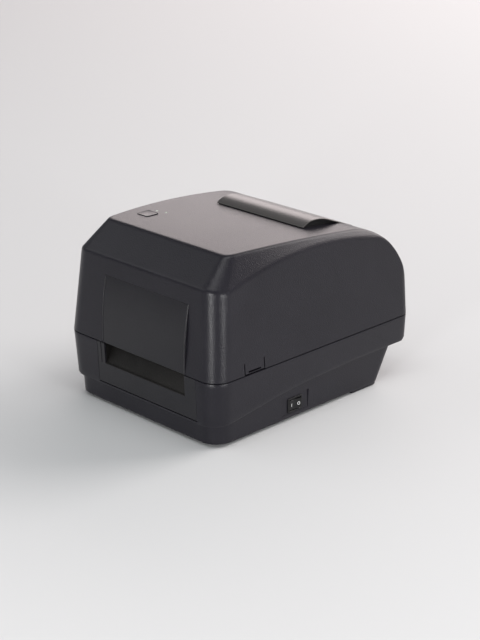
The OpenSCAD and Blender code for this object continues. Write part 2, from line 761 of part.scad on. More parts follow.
// Steel plate at the back of the connector bay, with the two sockets
plate_margin = 4;
usb_side = 18;               // sockets beside the bay's middle
usb_x = bay_x - usb_side;
usb_w = 12;
usb_h = 11;
usb_l = 10;
usb_wall = 1.6;
socket_out = 1.5;            // how far the sockets stand out of the plate
jack_side = 16;
jack_x = bay_x + jack_side;
jack_w = 14;
jack_h = 12;
jack_r = 3.2;
jack_deep = 8;
socket_z = (bay_low_z + bay_high_z) / 2;
module rear_plate() {
    y = bay_y - fit_gap / 3 - plate_t;
    color("silver") difference() {
        box([bay_x - bay_w / 2 - wall, y, bay_low_z - wall / 4],
            [bay_x + bay_w / 2 + wall, y + plate_t, bay_high_z + wall]);
        socket_box(usb_x, usb_w + 2 * fit_gap, usb_h + 2 * fit_gap, usb_l);
        socket_box(jack_x, jack_w + 2 * fit_gap, jack_h + 2 * fit_gap, usb_l);
    }
}
module socket_box(x, w, h, l) {
    box([x - w / 2, bay_y + socket_out - l, socket_z - h / 2],
        [x + w / 2, bay_y + socket_out, socket_z + h / 2]);
}
module usb_port() {
    color("silver") difference() {
        socket_box(usb_x, usb_w, usb_h, usb_l);
        translate([0, cut, 0])
            socket_box(usb_x, usb_w - 2 * usb_wall, usb_h - 2 * usb_wall, usb_l - usb_wall);
    }
}
module power_jack() {
    color("black") difference() {
        socket_box(jack_x, jack_w, jack_h, usb_l);
        rod_y(jack_x, bay_y + socket_out - jack_deep, socket_z, jack_r, jack_deep + cut);
    }
}

// Power switch: frame with a tube behind the bezel, and the rocker on its pins
bezel_x = recess_x + fit_gap / 3;
rocker_half = switch_w / 2 - bezel_rim - 2 * fit_gap;
rocker_axis_x = bezel_x + bezel_t - rocker_axis_in;
module switch_frame() {
    color("#18181a") difference() {
        union() {
            box([bezel_x, switch_y - switch_w / 2, switch_z - switch_h / 2],
                [bezel_x + bezel_t, switch_y + switch_w / 2, switch_z + switch_h / 2]);
            box([bezel_x - switch_body_l, switch_y - switch_w / 2 + bezel_rim + fit_gap,
                switch_z - switch_h / 2 + bezel_rim + fit_gap],
                [bezel_x + bezel_t / 2, switch_y + switch_w / 2 - bezel_rim - fit_gap,
                switch_z + switch_h / 2 - bezel_rim - fit_gap]);
        }
        box([bezel_x - switch_body_l + wall, switch_y - switch_w / 2 + 2 * bezel_rim,
            switch_z - switch_h / 2 + 3 * bezel_rim],
            [bezel_x + bezel_t + cut, switch_y + switch_w / 2 - 2 * bezel_rim,
            switch_z + switch_h / 2 - 3 * bezel_rim]);
        translate([rocker_axis_x, switch_y, switch_z - switch_h / 2 + bezel_rim + 2 * fit_gap])
            cylinder(r = rocker_pin_r + run_gap, h = switch_h - 2 * bezel_rim - 4 * fit_gap);
    }
}
// The rocker's two faces meet in a shallow valley; at rest the front one is pressed in
module power_rocker() {
    a = switch_w / 2 - 2 * bezel_rim - 2 * fit_gap;
    rise = a * tan(rocker_swing);
    h = switch_h - 6 * bezel_rim - 2 * fit_gap;
    color("#111113") translate([rocker_axis_x, switch_y, switch_z]) rotate([0, 0, -rocker_swing]) union() {
        translate([0, 0, -h / 2]) linear_extrude(h)
            polygon([
                [rocker_axis_in + rise, a * cos(rocker_swing)], [rocker_axis_in, 0],
                [rocker_axis_in + rise, -a * cos(rocker_swing)],
                [0, -a * cos(rocker_swing)], [-rocker_axis_in, -a / 2], [-rocker_axis_in, a / 2],
                [0, a * cos(rocker_swing)]]);
        translate([0, 0, -h / 2 - bezel_rim]) cylinder(r = rocker_pin_r, h = h + 2 * bezel_rim);
    }
}

module rubber_feet() {
    color("#151515") for (p = foot_places)
        translate([p[0], p[1], 0])
            cylinder(r = foot_r, h = (p[1] > skid_y ? foot_h - skid_h : foot_h) + foot_seat - run_gap);
}
module case_screws() {
    color("silver") for (p = screw_places) translate([p[0], p[1], foot_h + run_gap]) {
        cylinder(r = screw_head_r, h = screw_head_h);
        cylinder(r = screw_r, h = screw_l - screw_head_h);
    }
}

// Roll holders: each has an arm in a slot of the floor and a rack under it, and both racks
// turn one pinion, so that the holders stay the same distance from the paper's middle
rack_m = 1;
rack_teeth = 16;
rack_pinion_r = rack_m * rack_teeth / 2;
rack_t = 3;
rack_bar = 4;
rack_l = 62;
rack_z = bay_floor_z - tray_t - rack_t - 2 * fit_gap;
rack_mesh = 0.15;                      // racks lie this much further out than in full mesh
rack_pin_r = 3;
foot_half = 4;                         // half the depth of an arm where it passes the floor
arm_top_r = 14;
hub_pin_r = 3;
hub_r = 12.2;
hub_l = 8;
hub_flange_r = 20;
hub_flange_t = 2;
holder_left_x = path_left + holder_gap;
module rack_guide() {
    z = rack_z - 2 * fit_gap - rib_t;
    half_y = rack_pinion_r + 2 * rack_bar + rib_t;
    color("#45464b") union() {
        box([paper_x - holder_travel, roll_y - half_y, z], [paper_x + holder_travel, roll_y + half_y,
            z + rib_t]);
        for (s = [-1, 1])
            box([paper_x - holder_travel, roll_y + s * half_y - rib_t / 2, z],
                [paper_x + holder_travel, roll_y + s * half_y + rib_t / 2, bay_floor_z - tray_t]);
        translate([paper_x, roll_y, z])
            cylinder(r = rack_pin_r, h = rib_t + 2 * fit_gap + rack_t + fit_gap / 2);
    }
}
module centring_pinion() {
    color("white") translate([paper_x, roll_y, rack_z]) difference() {
        linear_extrude(rack_t) gear_outline(rack_teeth, rack_m, 90);
        translate([0, 0, -cut]) cylinder(r = rack_pin_r + run_gap, h = rack_t + 2 * cut);
    }
}
// Rack teeth along +x from a gap at x = 0, pitch line at y = 0, bar on the +y side
module rack_outline(from_i, to_i) {
    p = rack_m * PI;
    polygon(concat(
        [[(to_i + 1) * p, rack_m * 1.2 + rack_bar], [from_i * p, rack_m * 1.2 + rack_bar],
        [from_i * p, rack_m * 1.2]],
        [for (i = [from_i : to_i]) each [
            [(i + 0.5 - root_share / 2) * p, 1.2 * rack_m], [(i + 0.5 - tooth_share / 2) * p, 0],
            [(i + 0.5 - tip_share / 2) * p, -0.9 * rack_m], [(i + 0.5 + tip_share / 2) * p, -0.9 * rack_m],
            [(i + 0.5 + tooth_share / 2) * p, 0], [(i + 0.5 + root_share / 2) * p, 1.2 * rack_m]]],
        [[(to_i + 1) * p, rack_m * 1.2]]));
}
// The left holder; the right one is the same, turned half round the paper's middle
module roll_holder() {
    x = holder_left_x;
    steps = floor((paper_x - x - arm_t) / (rack_m * PI));
    color("#55565c") difference() {
        union() {
            side_plate(x, arm_t) polygon([
                [roll_y - foot_half, rack_z], [roll_y + foot_half, rack_z],
                [roll_y + foot_half, bay_floor_z + 2 * rib_t],
                [roll_y + arm_top_r, bay_floor_z + arm_top_r], [roll_y + arm_top_r, roll_z],
                [roll_y - arm_top_r, roll_z],
                [roll_y - arm_top_r, bay_floor_z + arm_top_r],
                [roll_y - foot_half, bay_floor_z + 2 * rib_t]]);
            rod_x(x, roll_y, roll_z, arm_top_r, arm_t);
            rod_x(x, roll_y, roll_z, hub_pin_r, arm_t + hub_l);
            box([x, roll_y, rack_z], [x + arm_t,
                roll_y + rack_pinion_r + 1.2 * rack_m + rack_bar + rack_mesh, rack_z + rack_t]);
            translate([paper_x, roll_y + rack_pinion_r + rack_mesh, rack_z]) linear_extrude(rack_t)
                rack_outline(-steps - 1, 1);
        }
        rod_x(x - cut, roll_y, roll_z - 2.5 * hub_r, hub_r / 2, arm_t + 2 * cut);
    }
}
module roll_holder_left() {
    roll_holder();
}
module roll_holder_right() {
    translate([paper_x, roll_y, 0]) rotate(180) translate([-paper_x, -roll_y, 0]) roll_holder();
}
module roll_hub() {
    x = holder_left_x + arm_t + fit_gap;
    color("#6a6b70") difference() {
        union() {
            rod_x(x, roll_y, roll_z, hub_flange_r, hub_flange_t);
            rod_x(x, roll_y, roll_z, hub_r, hub_l - fit_gap);
        }
        rod_x(x - cut, roll_y, roll_z, hub_pin_r + run_gap, hub_l + 2 * cut);
    }
}
module roll_hub_left() {
    roll_hub();
}
module roll_hub_right() {
    translate([paper_x, roll_y, 0]) rotate(180) translate([-paper_x, -roll_y, 0]) roll_hub();
}

// Gap sensor on its rod under the deck
sensor_w = 16;
sensor_h = 9;
sensor_travel = 45;
module sensor_rail() {
    color("silver") rod_x(path_left - tray_t, rail_y, rail_z, rail_r, paper_w + 2 * tray_t);
}
module sensor_carriage() {
    color("#222226") difference() {
        union() {
            box([paper_x - sensor_w / 2, rail_y - sensor_d / 2, rail_z - sensor_h / 2 - rib_t],
                [paper_x + sensor_w / 2, rail_y + sensor_d / 2, rail_z + rail_r + rib_t / 4]);
            box([paper_x - sensor_w / 2, rail_y - sensor_slot / 2 + 2 * fit_gap, rail_z],
                [paper_x + sensor_w / 2, rail_y + sensor_slot / 2 - 2 * fit_gap, deck_back_z - fit_gap]);
        }
        rod_x(paper_x - sensor_w, rail_y, rail_z, rail_r + run_gap, 2 * sensor_w);
    }
}

// Ribbon frame, screwed to bosses under the cover, with the spindles and the print head
frame_in = 4;                            // outer faces of the side plates, in from the paper path
frame_left = path_left + frame_in;
frame_right = path_right - frame_in;
frame_t = 2;
supply_in = 109;                         // spindles, in from the front
supply_y = -half_d + supply_in;
supply_z = 140;
takeup_in = 45;
takeup_y = -half_d + takeup_in;
takeup_z = 128;
spindle_r = 4;                           // ends of the spindles
core_r = 12;
head_arm = [30, 28];                     // head's pivot behind and above the platen's axis
head_pivot_y = platen_y + head_arm[0];
head_pivot_z = platen_z + head_arm[1];
head_pin_r = 2.5;
head_pin_l = 4;
bar_w = 12;
front_bar_aft = 6;                       // bars behind the take-up and the supply spindle
front_bar_y = takeup_y + front_bar_aft;
front_bar_z = 160;
rear_bar_aft = 26;
rear_bar_y = supply_y + rear_bar_aft;
rear_bar_z = 166;
spring_aft = 4;                          // middle of the bar over the head's springs, behind the platen
spring_bar_y = platen_y + spring_aft;
spring_bar_z = 100;
boss_in = 20;
boss_x = [frame_left + boss_in, frame_right - boss_in];
boss_places = [for (x = boss_x, p = [[front_bar_y, front_bar_z], [rear_bar_y, rear_bar_z]]) [x, p[0],
    p[1]]];

// Feed button and the two lights behind it
feed_in = [44.5, 78];        // middle of the button, in from the left side and from the front
feed_x = -half_w + feed_in[0];
feed_y = -half_d + feed_in[1];
feed_corner_r = 2;
feed_up = 1.2;               // how far it stands out of the cover
feed_travel = 1.5;
feed_flange = 1.5;
near_lens = [-1.5, 14.4];    // lights beside and behind the button's middle
far_lens = [9.5, 17.2];
lens_places = [for (p = [near_lens, far_lens]) [feed_x + p[0], feed_y + p[1]]];
lens_r = 1.6;

// Release tabs
tab_gap = 0.8;               // slits beside the tabs
tab_low_z = cover_low_z + tab_gap;
tab_pivot_in = 4.5;          // pivot's depth behind the cover's face
tab_pivot_r = 1.6;
tab_pivot_z = seam_z + tab_h;
tab_ear_t = 2.5;
tab_ear = 4;                 // half the height of the ears
tab_arm_t = 1.6;
hook_h = 2.5;
hook_gap = 0.4;

// Roll window under the hood
hood_in = 125.5;             // front edge of the hood, in from the rear wall
hood_y = half_d - hood_in;
window_in = 8;
module cover_shell() {
    difference() {
        cover_form(0, cover_low_z);
        cover_form(wall, 0);
    }
}
module top_cover() {
    color("#34353a") difference() {
        union() {
            cover_shell();
            for (p = boss_places) translate([p[0], p[1], p[2] + rib_t + run_gap])
                cylinder(r = boss_r, h = cover_top(p[1]) - wall / 2 - p[2] - rib_t - run_gap);
            for (s = [-1, 1]) tab_ears(s);
            for (s = [-1, 1])
                knuckle(s * hinge_x - knuckle_w / 2, cover_low_z, cover_low_z + hinge_web,
                    half_d - wall / 2);
        }
        // front opening for the raised panel
        box([path_left - fit_gap / 2, -half_d - cut, 0], [path_right + fit_gap / 2, brow_y + 2 * wall,
            seam_z + insert_h + fit_gap / 2]);
        // openings of the tabs
        for (s = [-1, 1]) tab_box(s, tab_gap);
        translate([feed_x, feed_y, cover_top(feed_y) - 2 * wall]) linear_extrude(4 * wall)
            polygon(round_points(feed_w + 2 * fit_gap, feed_w + 2 * fit_gap, feed_corner_r + fit_gap));
        for (p = lens_places) translate([p[0], p[1], cover_top(p[1]) - 2 * wall])
            cylinder(r = lens_r + run_gap, h = 4 * wall);
        // window under the hood
        box([paper_x - hood_w / 2 + window_in, hood_y + window_in, seam_z + cover_h / 2],
            [paper_x + hood_w / 2 - window_in, hood_y + hood_l - 2 * window_in, crest_z + hood_h]);
        for (p = boss_places) translate([p[0], p[1], p[2]])
            cylinder(r = screw_r + run_gap, h = screw_l + rib_t);
    }
}

// Box round a release tab, larger on its sides and top by gap
module tab_box(s, gap) {
    x = half_w - tab_pivot_in / 2 - wall;
    box([s > 0 ? x : -half_w - cut, catch_y - tab_w / 2 - gap,
        tab_low_z - (gap > 0 ? 2 * tab_gap + cut : 0)],
        [s > 0 ? half_w + cut : -x, catch_y + tab_w / 2 + gap, seam_z + tab_h + tab_gap + gap]);
}
tab_pivot_x = half_w - lean_at(tab_pivot_z) - tab_pivot_in;
module tab_ears(s) {
    for (k = [-1, 1]) difference() {
        translate([s > 0 ? tab_pivot_x - tab_ear / 2 : -half_w + lean_at(tab_pivot_z) + wall / 2,
            catch_y + k * (tab_w / 2 + tab_gap + tab_ear_t / 2 + fit_gap) - tab_ear_t / 2,
            tab_pivot_z - tab_ear])
            cube([tab_pivot_in + tab_ear / 2 - wall / 2, tab_ear_t, 2 * tab_ear]);
        rod_y(s * tab_pivot_x, catch_y - tab_w, tab_pivot_z, tab_pivot_r + run_gap, 2 * tab_w);
    }
}
hook_nose = 1.2;             // how far a hook's nose stands out of its arm, beside the catch
module latch_tab(s) {
    arm_y = tab_w / 3 - fit_gap;
    catch_x = half_w - catch_reach;
    arm_x = catch_x - fit_gap - hook_nose - tab_arm_t;
    color("#2c2d31") union() {
        difference() {
            intersection() {
                cover_shell();
                tab_box(s, 0);
            }
            // finger slot near the lower edge
            box([s > 0 ? 0 : -half_w - cut, catch_y - tab_w / 3, tab_low_z + tab_gap],
                [s > 0 ? half_w + cut : 0, catch_y + tab_w / 3, tab_low_z + 3 * tab_gap]);
        }
        // pivot rod, bridge to the face, arm and hook
        rod_y(s * tab_pivot_x, catch_y - tab_w / 2 - tab_gap - tab_ear_t - fit_gap, tab_pivot_z,
            tab_pivot_r,
            tab_w + 2 * (tab_gap + tab_ear_t + fit_gap));
        side_box(s, arm_x, tab_pivot_x + tab_pivot_in - wall / 2, arm_y, tab_pivot_z - tab_pivot_r,
            tab_pivot_z);
        side_box(s, arm_x, arm_x + tab_arm_t, arm_y, catch_z - hook_gap - hook_h, tab_pivot_z);
        side_box(s, arm_x, catch_x - fit_gap, arm_y, catch_z - hook_gap - hook_h, catch_z - hook_gap);
    }
}
// Box on the left or right side of the printer, half_y to each side of the tabs' middle
module side_box(s, in_x, out_x, half_y, low_z, high_z) {
    box([s > 0 ? in_x : -out_x, catch_y - half_y, low_z], [s > 0 ? out_x : -in_x, catch_y + half_y,
        high_z]);
}
module latch_tab_left() {
    latch_tab(-1);
}
module latch_tab_right() {
    latch_tab(1);
}

// Raised panel in the cover's front wall: its face is part of a large cylinder
insert_half = (insert_h - seam_gap / 2) / 2 / cos(wall_angle);
insert_r = (pow(insert_half, 2) + pow(insert_bulge, 2)) / (2 * insert_bulge);
insert_mid_z = cover_low_z + (insert_h - seam_gap / 2) / 2;
module insert_side(shell) {
    translate([-half_d + lean_at(insert_mid_z), insert_mid_z]) rotate(-wall_angle) intersection() {
        translate([insert_r - insert_bulge, 0]) circle(r = insert_r - shell, $fn = arc_fn);
        translate([-2 * insert_bulge, -insert_half])
            square([2 * insert_bulge + wall + shell, 2 * insert_half]);
    }
}
module front_insert() {
    color("#232428") difference() {
        side_plate(path_left + fit_gap / 2, paper_w - fit_gap) insert_side(0);
        side_plate(path_left + fit_gap / 2 + wall, paper_w - fit_gap - 2 * wall) insert_side(wall);
    }
}

// Hood over the roll window: a short steep nose, a crest and a long straight tail
hood_nose_d = 16.5;                       // from the front edge to the crest
hood_crest_r = 60;
hood_tail_angle = 21.8;
hood_nose_r = (pow(hood_nose_d, 2) + pow(hood_h, 2)) / (2 * hood_h);
hood_crest_z = cover_top(hood_y) + hood_h;
hood_steps = 6;
hood_end_in = 3;                          // the end walls stand back from the hood's ends
function hood_points(t) = let (
        cy = hood_y + hood_nose_d,
        nose_angle = asin(hood_nose_d / hood_nose_r),
        tail_y = cy + (hood_crest_r - t) * sin(hood_tail_angle),
        tail_z = hood_crest_z - hood_crest_r + (hood_crest_r - t) * cos(hood_tail_angle),
        end_y = hood_y + hood_l)
    concat(
        [for (i = [0 : hood_steps]) let (a = nose_angle * (1 - i / hood_steps))
            [cy - (hood_nose_r - t) * sin(a), hood_crest_z - hood_nose_r + (hood_nose_r - t) * cos(a)]],
        [for (i = [1 : hood_steps]) let (a = hood_tail_angle * i / hood_steps)
            [cy + (hood_crest_r - t) * sin(a), hood_crest_z - hood_crest_r + (hood_crest_r - t) * cos(a)]],
        [[end_y, tail_z - (end_y - tail_y) * tan(hood_tail_angle)],
         [end_y, seam_z + cover_h / 2], [hood_y + t, seam_z + cover_h / 2]]);
module hood_side(t) {
    difference() {
        polygon(hood_points(t));
        cover_profile(-run_gap, 0);
    }
}
module roll_hood() {
    left = paper_x - hood_w / 2;
    color("#3a3b40") difference() {
        side_plate(left, hood_w) hood_side(0);
        side_plate(left - cut, hood_end_in + cut) hood_side(hood_t);
        side_plate(left + hood_w - hood_end_in, hood_end_in + cut) hood_side(hood_t);
        side_plate(left + hood_end_in + hood_t, hood_w - 2 * hood_end_in - 2 * hood_t) hood_side(hood_t);
    }
}

module ribbon_frame() {
    color("#8b8d92") difference() {
        union() {
            for (x = [frame_left, frame_right - frame_t]) side_plate(x, frame_t) polygon([
                [platen_y - platen_r, spring_bar_z - bar_w / 2],
                [head_pivot_y, head_pivot_z - 2 * head_pin_r],
                [head_pivot_y + 3 * head_pin_r, head_pivot_z - 2 * head_pin_r],
                [supply_y + core_r, supply_z - 2 * core_r],
                [rear_bar_y + bar_w, rear_bar_z - core_r], [rear_bar_y + bar_w, rear_bar_z + rib_t],
                [rear_bar_y - bar_w, rear_bar_z + rib_t],
                [front_bar_y, front_bar_z + rib_t], [takeup_y - core_r, front_bar_z + rib_t],
                [platen_y - platen_r, takeup_z]]);
            box([frame_left, front_bar_y - bar_w / 2, front_bar_z],
                [frame_right, front_bar_y + bar_w / 2, front_bar_z + rib_t]);
            box([frame_left, rear_bar_y - bar_w / 2, rear_bar_z],
                [frame_right, rear_bar_y + bar_w / 2, rear_bar_z + rib_t]);
            box([frame_left, spring_bar_y - bar_w / 2, spring_bar_z],
                [frame_right, spring_bar_y + bar_w / 2, spring_bar_z + rib_t]);
            for (x = [frame_left + frame_t / 2, frame_right - frame_t / 2 - head_pin_l])
                rod_x(x, head_pivot_y, head_pivot_z, head_pin_r, head_pin_l);
        }
        for (p = [[supply_y, supply_z], [takeup_y, takeup_z]])
            rod_x(frame_left - cut, p[0], p[1], spindle_r + run_gap, frame_right - frame_left + 2 * cut);
        for (p = boss_places) translate([p[0], p[1], p[2] - cut])
            cylinder(r = screw_r + run_gap, h = rib_t + 2 * cut);
    }
}
module frame_screws() {
    color("silver") for (p = boss_places) translate([p[0], p[1], p[2] - screw_head_h]) {
        cylinder(r = screw_head_r, h = screw_head_h);
        cylinder(r = screw_r, h = screw_l);
    }
}
module spindle(y, z, left) {
    rod_x(left, y, z, spindle_r, frame_right + frame_t - left);
    rod_x(frame_left + 2 * frame_t, y, z, core_r - rib_t, frame_right - frame_left - 4 * frame_t);
    for (a = [0 : 120 : 240])
        translate([0, y, z]) rotate([a, 0, 0])
            box([frame_left + 3 * frame_t, -rib_t / 2, 0], [frame_right - 3 * frame_t, rib_t / 2, core_r]);
}
module supply_spindle() {
    color("#c9c9c4") union() {
        spindle(supply_y, supply_z, frame_left - frame_t);
    }
}
takeup_gear_teeth = 34;
module takeup_spindle() {
    x = frame_left - fit_gap - gear_t;
    color("#c9c9c4") union() {
        spindle(takeup_y, takeup_z, x - rib_t);
        side_plate(x, gear_t - run_gap) translate([takeup_y, takeup_z])
            gear_outline(takeup_gear_teeth, gear_m, 0);
    }
}

// Print head on its hinged carrier, pressed on the platen by two springs
head_gap = 0.3;
head_left = frame_left + frame_t + 2 * fit_gap;
head_right = frame_right - frame_t - 2 * fit_gap;
head_fore = 8;
head_aft = 20;
head_front_y = platen_y - head_fore;
head_back_y = platen_y + head_aft;
head_low_z = platen_z + platen_r + head_gap;
head_strip_t = 1;
heatsink_h = 9;
fin_t = 1.6;
fin_n = 7;
carrier_z = head_low_z + head_strip_t + heatsink_h + fit_gap / 3;
ear_t = 2;
ear_r = 6;
module thermal_head() {
    left = head_left + 2 * ear_t;
    right = head_right - 2 * ear_t;
    pitch = (head_back_y - head_front_y - fin_t) / (fin_n - 1);
    color("#b8b9bd") union() {
        box([left, head_front_y, head_low_z], [right, head_front_y + 2 * platen_r,
            head_low_z + head_strip_t]);
        box([left, head_front_y, head_low_z + head_strip_t],
            [right, head_back_y, head_low_z + head_strip_t + heatsink_h / 3]);
        for (i = [0 : fin_n - 1])
            box([left, head_front_y + i * pitch, head_low_z + head_strip_t],
                [right, head_front_y + i * pitch + fin_t, head_low_z + head_strip_t + heatsink_h]);
    }
}
module head_carrier() {
    color("#a0a2a6") difference() {
        union() {
            box([head_left, head_front_y, carrier_z], [head_right, head_pivot_y - ear_r,
                carrier_z + rib_t]);
            for (x = [head_left, head_right - ear_t]) {
                side_plate(x, ear_t) polygon([
                    [platen_y, carrier_z], [head_pivot_y, head_pivot_z - ear_r],
                    [head_pivot_y, head_pivot_z + ear_r], [platen_y + platen_r, carrier_z + rib_t]]);
                rod_x(x, head_pivot_y, head_pivot_z, ear_r, ear_t);
            }
        }
        rod_x(head_left - cut, head_pivot_y, head_pivot_z, head_pin_r + run_gap,
            head_right - head_left + 2 * cut);
    }
}

// Two coil springs, swept along a helix
spring_r = 4;
spring_wire_r = 0.6;
spring_turns = 6;
spring_sides = 6;
spring_ring = 16;            // rings in one turn
module spring(x, y, low_z, high_z) {
    n = spring_turns * spring_ring;
    rise = high_z - low_z - 2 * spring_wire_r;
    points = [
        for (i = [0 : n]) let (a = 360 * i / spring_ring, c = low_z + spring_wire_r + rise * i / n)
            for (k = [0 : spring_sides - 1]) let (b = 360 * k / spring_sides,
                r = spring_r + spring_wire_r * cos(b))
                [x + r * cos(a), y + r * sin(a), c + spring_wire_r * sin(b)]];
    faces = [
        for (i = [0 : n - 1], k = [0 : spring_sides - 1])
            let (p = i * spring_sides + k, q = i * spring_sides + (k + 1) % spring_sides)
                each [[p, p + spring_sides, q], [q, p + spring_sides, q + spring_sides]]];
    polyhedron(points, concat(faces, [
        [for (k = [0 : spring_sides - 1]) k],
        [for (k = [spring_sides - 1 : -1 : 0]) n * spring_sides + k]]));
}
module head_springs() {
    color("silver") for (x = boss_x)
        spring(x, spring_bar_y, carrier_z + rib_t + fit_gap, spring_bar_z - run_gap);
}

module feed_button() {
    z = cover_top(feed_y);
    color("#2a2b2f") translate([feed_x, feed_y, 0]) union() {
        translate([0, 0, z - 2 * wall]) linear_extrude(2 * wall + feed_up)
            polygon(round_points(feed_w, feed_w, feed_corner_r));
        translate([0, 0, z - 2 * wall - feed_flange]) linear_extrude(feed_flange)
            polygon(round_points(feed_w + 4 * feed_flange, feed_w + 4 * feed_flange, feed_corner_r));
    }
}
module status_lens() {
    color("#9fe0a8") for (p = lens_places) translate([p[0], p[1], cover_top(p[1])]) {
        translate([0, 0, -2 * wall]) cylinder(r = lens_r, h = 2 * wall + fit_gap);
        translate([0, 0, -2 * wall]) cylinder(r = 1.4 * lens_r, h = wall - fit_gap);
    }
}

centred() base_case();
centred() exit_panel();
centred() media_tray();
centred() tear_bar();
centred() platen_bushings();
centred() main_board();
centred() board_parts();
centred() usb_port();
centred() power_jack();
centred() rear_plate();
centred() drive_motor();
centred() gear_plate();
centred() gear_cover();
centred() switch_frame();
centred() rubber_feet();
centred() case_screws();
centred() latch_catches();
centred() hinge_pins();
centred() rack_guide();
centred() sensor_rail();
centred() top_cover();
centred() front_insert();
centred() roll_hood();
centred() ribbon_frame();
centred() frame_screws();
centred() status_lens();
centred() feed_button();
centred() power_rocker();
centred() latch_tab_left();
centred() latch_tab_right();
centred() platen_shaft();
centred() platen_rubber();
centred() platen_gear();
centred() motor_pinion();
centred() idler_gear();
centred() roll_holder_left();
centred() roll_holder_right();
centred() roll_hub_left();
centred() roll_hub_right();
centred() centring_pinion();
centred() sensor_carriage();
centred() head_carrier();
centred() thermal_head();
centred() head_springs();
centred() supply_spindle();
centred() takeup_spindle();
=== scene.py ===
# %% [markdown]
# A desktop label printer in charcoal ABS. It is a clamshell: a flat base, and a tall cover that
# swings up on two hinges at the back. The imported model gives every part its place, so this file
# only has to make each part look like the real one.

# %% Load the frame
import functools
import math
import bpy
import bmesh
import numpy as np
from mathutils import Matrix, Vector


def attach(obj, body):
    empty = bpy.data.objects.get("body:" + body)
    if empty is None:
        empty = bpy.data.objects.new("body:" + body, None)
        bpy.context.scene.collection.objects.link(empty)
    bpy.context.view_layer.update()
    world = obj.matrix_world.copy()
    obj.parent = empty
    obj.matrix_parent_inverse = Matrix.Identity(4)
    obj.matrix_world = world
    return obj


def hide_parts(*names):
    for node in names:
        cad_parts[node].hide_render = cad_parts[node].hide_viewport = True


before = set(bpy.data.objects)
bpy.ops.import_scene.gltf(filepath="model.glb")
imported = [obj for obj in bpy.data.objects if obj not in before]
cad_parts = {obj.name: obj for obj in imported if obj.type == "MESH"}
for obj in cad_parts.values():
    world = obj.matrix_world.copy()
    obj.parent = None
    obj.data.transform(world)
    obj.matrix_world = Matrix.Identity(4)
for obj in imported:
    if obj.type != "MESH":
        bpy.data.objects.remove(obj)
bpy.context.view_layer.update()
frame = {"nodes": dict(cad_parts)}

# %% [markdown]
# The camera comes first, because every choice after it is judged through it. It stands where the
# photographer stood: 45 degrees round to the right, 21 degrees up, about 1.75 m away. The lens is
# long, so the printer's parallel edges hardly meet.

# %% Camera
def new_object(name, data):
    obj = bpy.data.objects.new(name, data)
    bpy.context.scene.collection.objects.link(obj)
    return obj

def aim_at(obj, place, target):
    obj.location = place
    obj.rotation_euler = (Vector(target) - Vector(place)).to_track_quat("-Z", "Y").to_euler()

sensor_mm, focal_px, photo_px = 36.0, 1644.1, 640.0
camera_data = bpy.data.cameras.new("photo_camera")
camera_data.sensor_width = sensor_mm
camera_data.lens = sensor_mm * focal_px / photo_px
camera_data.clip_end = 50.0
camera = new_object("photo_camera", camera_data)
aim_at(camera, (1.15979, -1.15410, 0.69544), (0.0, -0.0049, 0.07223))
bpy.context.scene.camera = camera
print("lens in mm", round(camera_data.lens, 1))

# %% [markdown]
# The pieces are drawn in millimetres, with y counted from the middle of the housing. The frame is
# in metres, and that middle lies 4.9 mm in front of its origin, so one helper moves a finished mesh
# there. It also shades it: faces that meet at a low angle are smooth, and the others keep a hard
# edge. A Bevel modifier with hardened normals gives small parts the rounded edges of a moulding.

# %% Finishing a piece
MM = 0.001
SHIFT_Y = -4.9
pieces = {}

def mesh_from(bm, name):
    """Writes a bmesh into a mesh and frees it."""
    mesh = bpy.data.meshes.new(name)
    bm.to_mesh(mesh)
    bm.free()
    return mesh

def finish_piece(name, bm, body, nodes=(), bevel=0.0, segments=2, angle=32.0):
    bmesh.ops.translate(bm, vec=(0.0, SHIFT_Y, 0.0), verts=bm.verts)
    bmesh.ops.scale(bm, vec=(MM, MM, MM), verts=bm.verts)
    obj = new_object(name, mesh_from(bm, name))
    obj.data.shade_smooth()
    if bevel:
        rounding = obj.modifiers.new("rounding", "BEVEL")
        rounding.width = bevel * MM
        rounding.segments = segments
        rounding.limit_method = "ANGLE"
        rounding.angle_limit = math.radians(angle)
        rounding.harden_normals = True
    else:
        obj.data.set_sharp_from_angle(angle=math.radians(angle))
    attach(obj, body)
    if nodes:
        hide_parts(*nodes)
    pieces[name] = obj
    print(name, len(obj.data.polygons), "faces")

# %% Boxes, rods and arcs
def add_box(bm, corner, opposite):
    """Adds a box between two opposite corners, given in any order."""
    low = Vector([min(pair) for pair in zip(corner, opposite)])
    high = Vector([max(pair) for pair in zip(corner, opposite)])
    verts = bmesh.ops.create_cube(bm, size=1.0)["verts"]
    bmesh.ops.scale(bm, vec=high - low, verts=verts)
    bmesh.ops.translate(bm, vec=(low + high) / 2, verts=verts)
    return verts

def add_rod(bm, start, axis, radius, length, sides=32):
    start, axis = Vector(start), Vector(axis)
    verts = bmesh.ops.create_cone(
        bm, cap_ends=True, segments=sides, radius1=radius, radius2=radius, depth=length
    )["verts"]
    turn = Vector((0, 0, 1)).rotation_difference(axis).to_matrix()
    bmesh.ops.rotate(bm, matrix=turn, cent=(0, 0, 0), verts=verts)
    bmesh.ops.translate(bm, vec=start + axis * length / 2, verts=verts)

def spin_x(bm, geom, centre, angle, steps):
    """Carries vertices, edges or faces along an arc about the X axis."""
    bmesh.ops.spin(bm, geom=geom, cent=centre, axis=(1, 0, 0), dvec=(0, 0, 0), angle=angle, steps=steps)

def slide(bm, made, vec):
    """Moves the vertices among what an extrusion made."""
    bmesh.ops.translate(bm, vec=vec, verts=[g for g in made if isinstance(g, bmesh.types.BMVert)])

def round_edges(bm, edges, radius):
    bmesh.ops.bevel(
        bm, geom=edges, offset=radius, offset_type="OFFSET", segments=6, profile=0.5,
        affect="EDGES", material=-1, clamp_overlap=True
    )

def span(edge, axis):
    """How far an edge reaches along one axis."""
    return abs((edge.verts[0].co - edge.verts[1].co)[axis])

